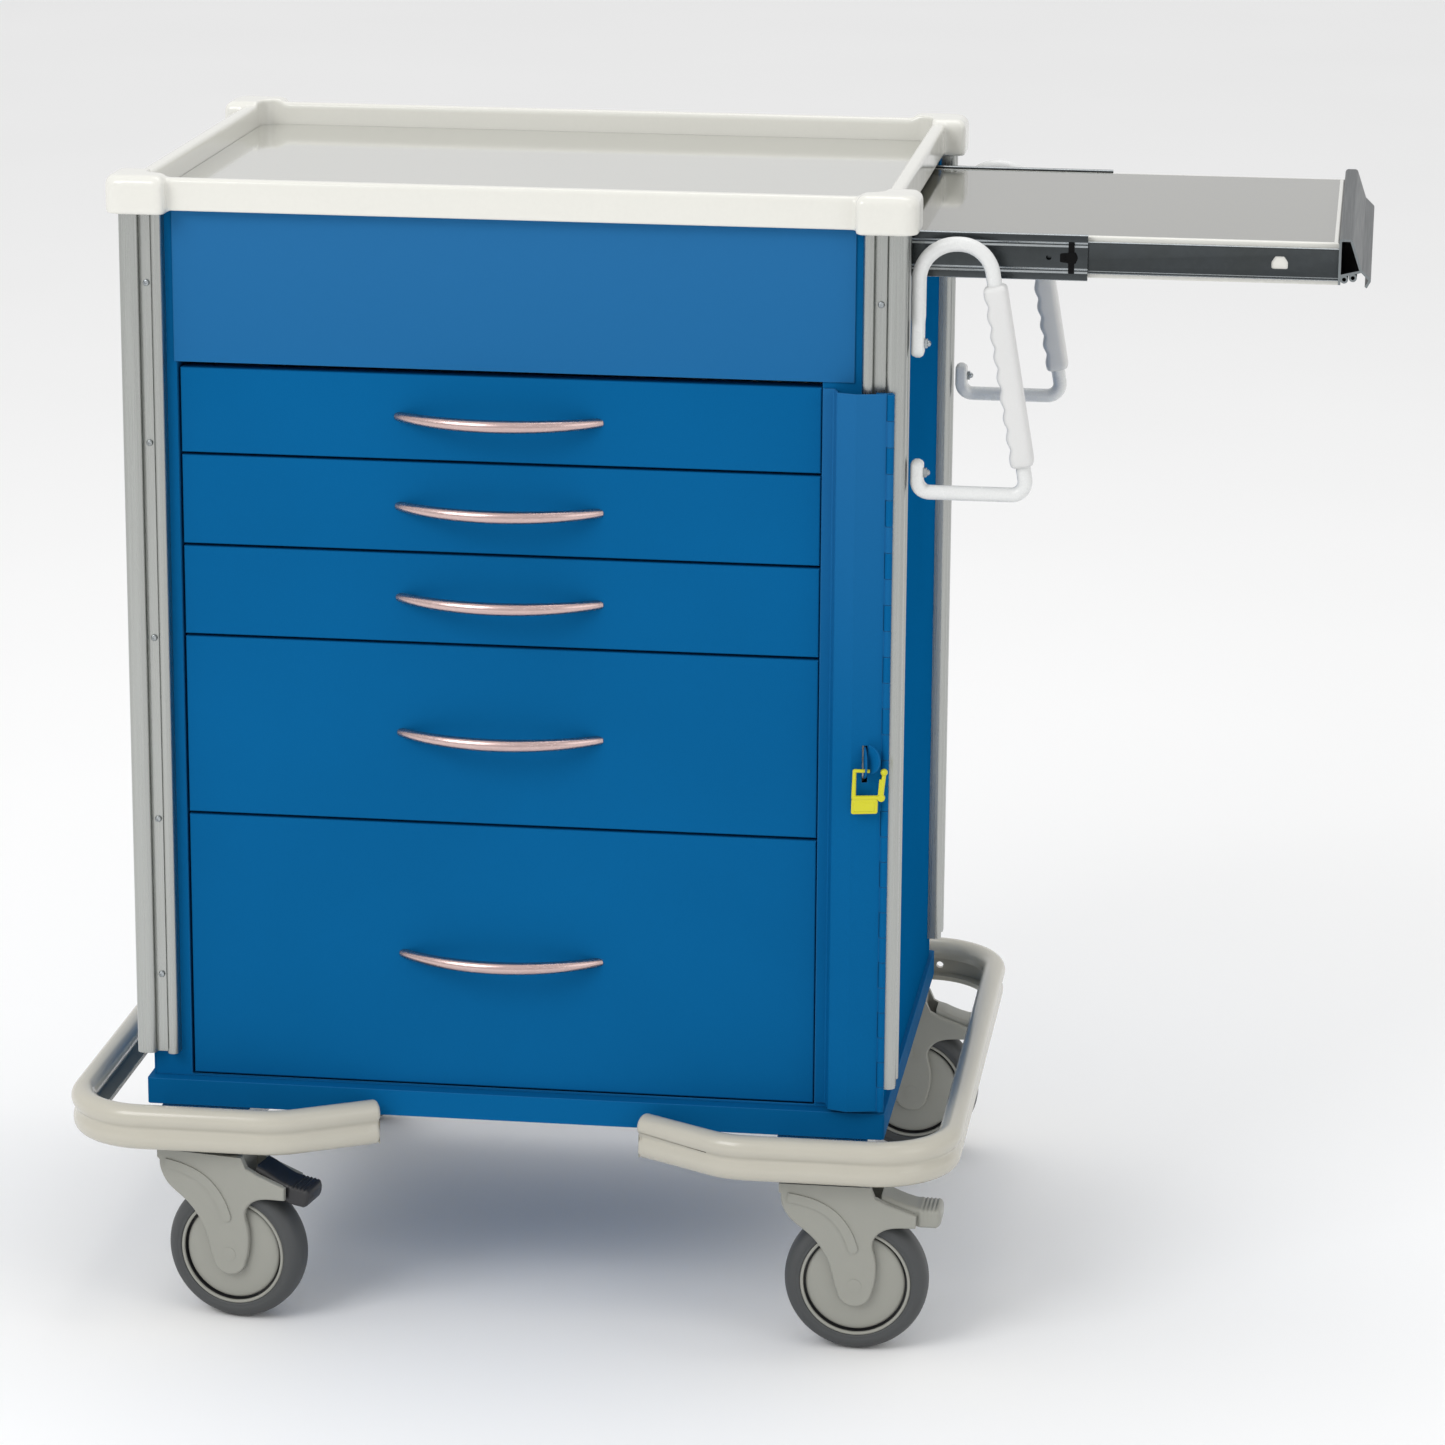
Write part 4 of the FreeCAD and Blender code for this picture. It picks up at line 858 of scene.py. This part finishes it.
def loose_parts(mesh):
    """Sets of vertices of each separate solid, grouped by their place."""
    work = bmesh.new()
    work.from_mesh(mesh)
    work.verts.ensure_lookup_table()
    places = [tuple(round(value, 6) for value in vert.co) for vert in work.verts]
    index = {}
    for number, place in enumerate(places):
        index.setdefault(place, []).append(number)
    seen, parts = set(), []
    for first in range(len(places)):
        if first in seen:
            continue
        stack, part = [first], set()
        while stack:
            current = stack.pop()
            if current in part:
                continue
            part.add(current)
            here = work.verts[current]
            stack += [edge.other_vert(here).index for edge in here.link_edges]
            stack += index[places[current]]
        seen |= part
        parts.append(sorted(part))
    work.free()
    return parts


# ---- corner posts
POST_LEG, POST_WALL = 36.0, 12.0  # an angle's legs and their thickness, in mm
CHANNEL = (17.1, 25.8)  # screw channel, from the outer corner
CHANNEL_DEPTH = 7.5
POST_CORNER, LOBE, LOBE_FROM = 6.0, 5.9, 11.2


def arc(centre, radius, start, end, steps):
    """Points of a flat arc between two angles in degrees."""
    points = []
    for step in range(steps + 1):
        turn = math.radians(start + (end - start) * step / steps)
        points.append((centre[0] + radius * math.cos(turn), centre[1] + radius * math.sin(turn)))
    return points


def lobed_face():
    """One outer face of a post from its corner on, as (distance along, depth)."""
    near, far = CHANNEL
    face = arc((LOBE_FROM, LOBE), LOBE, -112, 0, 10)
    face = [(along, max(0.0, depth)) for along, depth in face]
    face += [(near, CHANNEL_DEPTH), (far, CHANNEL_DEPTH)]
    crown = (POST_LEG - far) / 2
    face += arc((far + crown, crown), crown, 180, 360, 16)
    return face


def corner_posts():
    """Angle extrusions with a rounded corner and half-round lobes beside the channels."""
    low, high = corners("corner_posts")
    corner = arc((POST_CORNER, POST_CORNER), POST_CORNER, 225, 268, 6)
    front = corner + lobed_face() + [(POST_LEG, POST_WALL)]
    side = [(depth, along) for along, depth in front]
    outline = front + [(POST_WALL, POST_WALL)] + side[:0:-1]
    shells = []
    for x, flip_x in ((low.x, 1), (high.x, -1)):
        for y, flip_y in ((low.y, 1), (high.y, -1)):
            def place(u, v):
                return Vector((x + flip_x * u, y + flip_y * v, low.z))

            shells.append(extrude(outline, place, (0, 0, high.z - low.z)))
    piece("corner_post_angles", shells, "cabinet", "satin_aluminium", ["corner_posts"], crease=28)


# ---- tray
RIM_INSET = (17.7, 12.7)  # how far the rim's faces lie inside the caps' faces
RIM_LIFT, RIM_DROP = 2.2, 3.0  # and inside the caps' heights
RIM_WALL, RIM_SKIN, RIM_ROUND = 12.0, 3.0, 3.2
CAP_LENGTH, CAP_CORNER, CAP_INNER, CAP_ROUND = 50.0, 13.0, 6.0, 8.0
POCKET_GAP, POCKET_CORNER = 0.5, 14.0  # round the laminate
TRAY_VOXEL, TRAY_MELT = 1.5, 7
FLOOR_LAP = 1.0  # the floor runs this far into the rim
LAMINATE = 1.2  # its thickness


SLAB_STEPS = 7  # in a slab's rounded top


def rounded_slab(low, high, radii, top):
    """A block with rounded upright edges, one radius for each corner, and a rounded top."""
    layers = [(low.z, 1.2), (low.z + 0.6, 0.3), (low.z + 1.5, 0.0)]
    for step in range(SLAB_STEPS + 1):
        turn = math.pi / 2 * step / SLAB_STEPS
        layers.append((high.z - top + top * math.sin(turn), top * (1 - math.cos(turn))))
    rings = []
    for height, inset in layers:
        edge = Vector((inset, inset))
        shrunk = [max(radius - inset * 0.6, 1.0) for radius in radii]
        ring = rectangle(low.xy + edge, high.xy - edge, shrunk)
        rings.append([Vector((p.x, p.y, height)) for p in ring])
    return skin(rings)


def tray_rim():
    """Moulded rim, with soft caps over the posts that flow into it, and its floor."""
    low, high = corners("top_tray")
    floor_low, floor_high = corners("top_surface")
    gap, lap = Vector((POCKET_GAP, POCKET_GAP)), Vector((FLOOR_LAP, FLOOR_LAP))
    pocket_low, pocket_high = floor_low.xy - gap, floor_high.xy + gap
    outline = rectangle(pocket_low, pocket_high, POCKET_CORNER)
    caps = piece("caps", cap_blocks(low, high), None, "cream_plastic")
    drill(caps, [extrude(outline, lambda u, v: Vector((u, v, low.z - 5)), (0, 0, 60))])
    blocks = ([point.co / MM for point in caps.data.vertices],
              [tuple(face.vertices) for face in caps.data.polygons])
    bpy.data.objects.remove(caps)
    rim_low = low + Vector((*RIM_INSET, RIM_LIFT))
    rim_high = high - Vector((*RIM_INSET, RIM_DROP))
    rim = piece("tray_rim", [rim_ring(rim_low, rim_high), blocks], "cabinet", "cream_plastic",
                ["top_tray"])
    fuse(rim, TRAY_VOXEL, TRAY_MELT)
    settle(rim)
    rim.data.shade_smooth()
    sheet = rectangle(pocket_low - lap, pocket_high + lap, POCKET_CORNER + FLOOR_LAP)
    below = floor_high.z - LAMINATE - RIM_SKIN
    piece("tray_floor", [extrude(sheet, lambda u, v: Vector((u, v, below)), (0, 0, RIM_SKIN))],
          "cabinet", "cream_plastic")


def cap_blocks(low, high):
    """The four caps, each rounded most at the tray's outer corner."""
    blocks = []
    for index, (left, front) in enumerate(((True, True), (False, True), (False, False),
                                           (True, False))):
        x0 = low.x if left else high.x - CAP_LENGTH
        y0 = low.y if front else high.y - CAP_LENGTH
        radii = [CAP_INNER] * 4
        radii[index] = CAP_CORNER
        far = Vector((x0 + CAP_LENGTH, y0 + CAP_LENGTH, high.z))
        blocks.append(rounded_slab(Vector((x0, y0, low.z)), far, radii, CAP_ROUND))
    return blocks


def rim_ring(low, high):
    """Closed frame whose section is a wall with a rounded top."""
    half, top = RIM_WALL / 2, high.z
    profile = [(-half, low.z)]
    profile += arc((RIM_ROUND - half, top - RIM_ROUND), RIM_ROUND, 180, 90, 5)
    profile += arc((half - RIM_ROUND, top - RIM_ROUND), RIM_ROUND, 90, 0, 5)
    profile += [(half, low.z)]
    inset = Vector((half, half))
    path = rectangle(low.xy + inset, high.xy - inset, POCKET_CORNER)
    rings = []
    for index, place in enumerate(path):
        ahead = (path[(index + 1) % len(path)] - path[index - 1]).normalized()
        rings.append([Vector((place.x + ahead.y * u, place.y - ahead.x * u, z))
                      for u, z in profile])
    return skin(rings, closed=True)


# ---- shelf slides
GAUGE, SLIDE_LIP = 1.2, 1.0  # sheet thickness and the length of a turned lip
RIB_RISE, RIB_FOOT, RIB_CROWN = 0.9, 2.2, 0.7
TIGHT_TURN, WIDE_TURN = 0.55, 1.9  # bend radii of the middle and the inner members
MIDDLE_RIBS = (10.5, -10.5)
MIDDLE_WEB = 2.6  # how far the middle member's web lies inside its face
ROUND_HOLE = (31.0, 2.2)  # from the middle member's end, and its radius
ARCH_HOLE = 46.5  # from the inner member's end
ARCH = ((-6.5, -5.0), (6.5, -5.0), (6.5, 0.5), (3.5, 5.0), (-3.5, 5.0), (-6.5, 0.5))
HOLE_REACH = 10.0  # the cutters stand out of the pair this far


def channel_section(flange, half, ribs):
    """Rolled channel: (out from the web, height) of its mid-line, with ribs raised on it."""
    edge = half - GAUGE / 2
    line = [(flange, edge - SLIDE_LIP), (flange, edge), (0.0, edge)]
    for height in ribs:
        line += [(0.0, height + RIB_FOOT), (RIB_RISE, height + RIB_CROWN),
                 (RIB_RISE, height - RIB_CROWN), (0.0, height - RIB_FOOT)]
    return line + [(0.0, -edge), (flange, -edge), (flange, SLIDE_LIP - edge)]


def shelf_slides():
    """Rolled middle and inner members, with the release lever on the near middle one."""
    for kind, body in (("mid", "shelf_middle"), ("inner", "shelf")):
        node = f"shelf_slide_{kind}"
        low, high = corners(node)
        shells = [slide_shell(kind, side, low, high, member_depth(node)) for side in (-1, 1)]
        made = piece(f"{node}_members", shells, body, "zinc_steel", [node], crease=30)
        drill(made, [slide_hole(kind, low, high)])
        made.data.set_sharp_from_angle(angle=math.radians(30))
        paint_web_shade(made)
    lever()


WEB_FACING = 0.97  # a face turned this much to the side belongs to a web and gets the painted shade


def paint_web_shade(members):
    """Painted shade: a slide's flat webs take a darker copy of the zinc than its bright rolled lips and ribs."""
    members.data.materials.append(MATERIALS["zinc_shaded_web"])
    for face in members.data.polygons:
        if abs(face.normal.y) > WEB_FACING:
            face.material_index = 1


def member_depth(node):
    """How deep one member of a pair is, across the shelf."""
    ys = [vertex.co.y / MM for vertex in NODES[node].data.vertices]
    return max(ys) - min(y for y in ys if y > 0)


def slide_shell(kind, side, low, high, deep):
    """The middle member's web lies outward of its flanges' tips; the inner one's inward."""
    outer = high.y if side > 0 else low.y
    middle, half = (low.z + high.z) / 2, (high.z - low.z) / 2
    if kind == "mid":
        toward, web, turn, ribs = -side, MIDDLE_WEB + GAUGE / 2, TIGHT_TURN, MIDDLE_RIBS
        flange = deep - web
    else:
        toward, web, turn, ribs = side, deep - GAUGE / 2, WIDE_TURN, ()
        flange = web
    line = channel_section(flange, half, ribs)
    turns = [0, TIGHT_TURN] + [turn] * (len(line) - 4) + [TIGHT_TURN, 0]
    return extrude(thicken(bend(line, turns, 4), GAUGE),
                   lambda u, v: Vector((low.x, outer - side * web + toward * u, middle + v)),
                   (high.x - low.x, 0, 0))


def slide_hole(kind, low, high):
    """Cutter of the hole through a pair of members near their outer ends."""
    span = high.y - low.y + 2 * HOLE_REACH
    start, middle = low.y - HOLE_REACH, (low.z + high.z) / 2
    if kind == "mid":
        setback, radius = ROUND_HOLE
        return lathe([(0, 0), (radius, 0), (radius, span), (0, span)],
                     (high.x - setback, start, middle), (0, 1, 0), 24)
    x = high.x - ARCH_HOLE
    return extrude(bend(ARCH, 1.4, 4, closed=True),
                   lambda u, v: Vector((x + u, start, middle + v)), (0, span, 0))


# The release lever's upright and arm: outline, corner radius, steps and thickness.
LEVER_PLATES = ((((-2.4, -12.5), (2.4, -12.5), (2.4, 12.5), (-2.4, 12.5)), 0.8, 3, 1.5),
                (((-9.0, -3.4), (4.0, -4.6), (4.0, 4.6), (-9.0, 3.4)), 1.2, 4, 1.4))
LEVER_DISC, DISC_RAISE, DISC_THICK = 5.0, 0.6, 2.0
LEVER_SETBACK, LEVER_INSET = 13.0, 1.4


def lever():
    """Black cross-shaped release lever near the middle member's outer end."""
    low, high = corners("shelf_slide_mid")
    centre = Vector((high.x - LEVER_SETBACK, low.y + LEVER_INSET, (low.z + high.z) / 2))
    shells = [extrude(bend(outline, radius, steps, True),
                      lambda u, v: centre + Vector((u, 0, v)), (0, thick, 0))
              for outline, radius, steps, thick in LEVER_PLATES]
    shells.append(extrude(circle(LEVER_DISC, 28),
                          lambda u, v: centre + Vector((u, -DISC_RAISE, v)),
                          (0, DISC_THICK, 0)))
    made = piece("shelf_slide_lever", shells, "shelf_middle", "black_plastic", round_mm=0.3)
    made.data.materials[0] = MATERIALS["lever_plastic"]


END_NEAR = 1e-4  # a face this near the end of the box is a cut end, in m


def bright_cut_ends(name):
    """The sawn ends of an extrusion are paler than its anodised skin."""
    mesh = NODES[name].data
    mesh.materials.append(MATERIALS["cut_aluminium"])
    low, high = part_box(name)
    for face in mesh.polygons:
        if min(abs(face.center.y - low.y), abs(face.center.y - high.y)) < END_NEAR:
            face.material_index = 1


TIP_ROUND = 3.5  # how much the bumper's tips are rounded off, in mm
TIP_REACH, TIP_DEPTH, TIP_AREA = 200.0, 60.0, 100.0  # near the middle, near the front, large


def bumper_moulding():
    """The bumper with its two front tips rounded off. The bevel crosses itself at each tip's
    inner crease and leaves the end face torn there: a known fault."""
    low, high = corners("bumper")
    middle = (low.x + high.x) / 2
    work = bmesh.new()
    work.from_mesh(NODES["bumper"].data)
    bmesh.ops.remove_doubles(work, verts=work.verts, dist=1e-6)
    bmesh.ops.dissolve_limit(work, angle_limit=math.radians(0.4), verts=work.verts,
                             edges=work.edges)

    def is_tip(face):
        place = face.calc_center_median() / MM
        inward = -math.copysign(1.0, place.x - middle) * face.normal.x
        return (abs(place.x - middle) < TIP_REACH and place.y < low.y + TIP_DEPTH
                and inward > 0.8 and face.calc_area() > TIP_AREA * MM * MM)

    rims = [edge for edge in work.edges if sum(map(is_tip, edge.link_faces)) == 1]
    bmesh.ops.bevel(work, geom=rims, offset=TIP_ROUND * MM, segments=4, profile=0.5,
                    affect="EDGES", clamp_overlap=False)
    work.verts.index_update()
    shell = ([vert.co / MM for vert in work.verts],
             [tuple(vert.index for vert in face.verts) for face in work.faces])
    work.free()
    piece("bumper_moulding", [shell], "cabinet", "bumper_vinyl", ["bumper"], crease=30)


SHEET_NODES = ("left_side_panel", "right_side_panel", "back_panel", "base_pan",
               "header_panel", "front_frame", "lock_bar")


def finish_nodes():
    """Softer edges on the CAD nodes that stay in view."""
    for name in SHEET_NODES:
        soften_node(name, 0.5)
    for number in DRAWERS:
        soften_node(f"drawer_{number}_box", 0.3)
    for name in CASTERS:
        soften_node(f"caster_{name}_fork", 0.9)


# ---- stage
FLOOR_HALF = 20.0  # metres
WORLD_STRENGTH = 0.86
AIM = (0.0, 0.0, 0.5)  # the lights point at the cart's middle
# name, place, width, height in metres, and power in watts
SOFTBOXES = (("key_light", (-2.4, -3.4, 3.4), 2.2, 2.2, 75),
             ("fill_light", (3.6, -2.6, 2.0), 2.0, 2.6, 14),
             ("top_light", (0.4, 0.6, 4.2), 2.6, 1.6, 26))
CAMERA_PLACE = (0.5352, -4.1485, 1.5810)
CAMERA_YAW, CAMERA_DOWN, CAMERA_ROLL = 0.1303, 0.2607, 0.0071  # radians
CAMERA_LENS, CAMERA_SENSOR = 125.40, 36.0


def make_floor():
    mesh = bpy.data.meshes.new("floor")
    edge = FLOOR_HALF
    mesh.from_pydata([(-edge, -edge, 0), (edge, -edge, 0), (edge, edge, 0), (-edge, edge, 0)],
                     [], [(0, 1, 2, 3)])
    s = Surface("pale_floor", 0.8, specular=0.1)
    s.colour(s.ramp(s.noise(1.5, 1.0), (0.925, 0.925, 0.925, 1), (0.935, 0.935, 0.935, 1)))
    mesh.materials.append(s.material)
    floor = add("floor", mesh)


def make_world():
    world = bpy.data.worlds.new("studio")
    bpy.context.scene.world = world
    world.use_nodes = True
    tree = world.node_tree
    background = tree.nodes["Background"]
    place = tree.nodes.new("ShaderNodeTexCoord")
    split = tree.nodes.new("ShaderNodeSeparateXYZ")
    ramp = tree.nodes.new("ShaderNodeValToRGB")
    tree.links.new(place.outputs["Generated"], split.inputs["Vector"])
    tree.links.new(split.outputs["Z"], ramp.inputs["Fac"])
    tree.links.new(ramp.outputs["Color"], background.inputs["Color"])
    set_stops(ramp, (0.0, (0.9, 0.9, 0.9, 1)), (0.6, (1.0, 1.0, 1.0, 1)))
    background.inputs["Strength"].default_value = WORLD_STRENGTH


def make_lights():
    for name, place, width, height, power in SOFTBOXES:
        light = bpy.data.lights.new(name, "AREA")
        light.shape = "RECTANGLE"
        light.size, light.size_y = width, height
        light.energy = power
        lamp = add(name, light)
        lamp.location = place
        aim = Vector(AIM) - Vector(place)
        lamp.rotation_euler = aim.to_track_quat("-Z", "Y").to_euler()


def make_camera():
    camera = bpy.data.cameras.new("camera")
    camera.sensor_width = CAMERA_SENSOR
    camera.lens = CAMERA_LENS
    camera.clip_start, camera.clip_end = 0.1, 100.0
    holder = add("camera", camera)
    turn = Matrix.Rotation(CAMERA_YAW, 4, "Z")
    turn = turn @ Matrix.Rotation(math.pi / 2 - CAMERA_DOWN, 4, "X")
    turn = turn @ Matrix.Rotation(CAMERA_ROLL, 4, "Z")
    holder.matrix_world = Matrix.Translation(CAMERA_PLACE) @ turn
    bpy.context.scene.camera = holder
    bpy.context.scene.view_settings.view_transform = "Standard"


paint_nodes()
drawer_pulls()
wheels()
pedals()
push_handles()
grips()
frame_bolts()
lock_seal()
hasp_tab()
post_screws()
corner_posts()
tray_rim()
shelf_slides()
bright_cut_ends("shelf_pull")
bumper_moulding()
finish_nodes()
make_floor()
make_world()
make_lights()
make_camera()
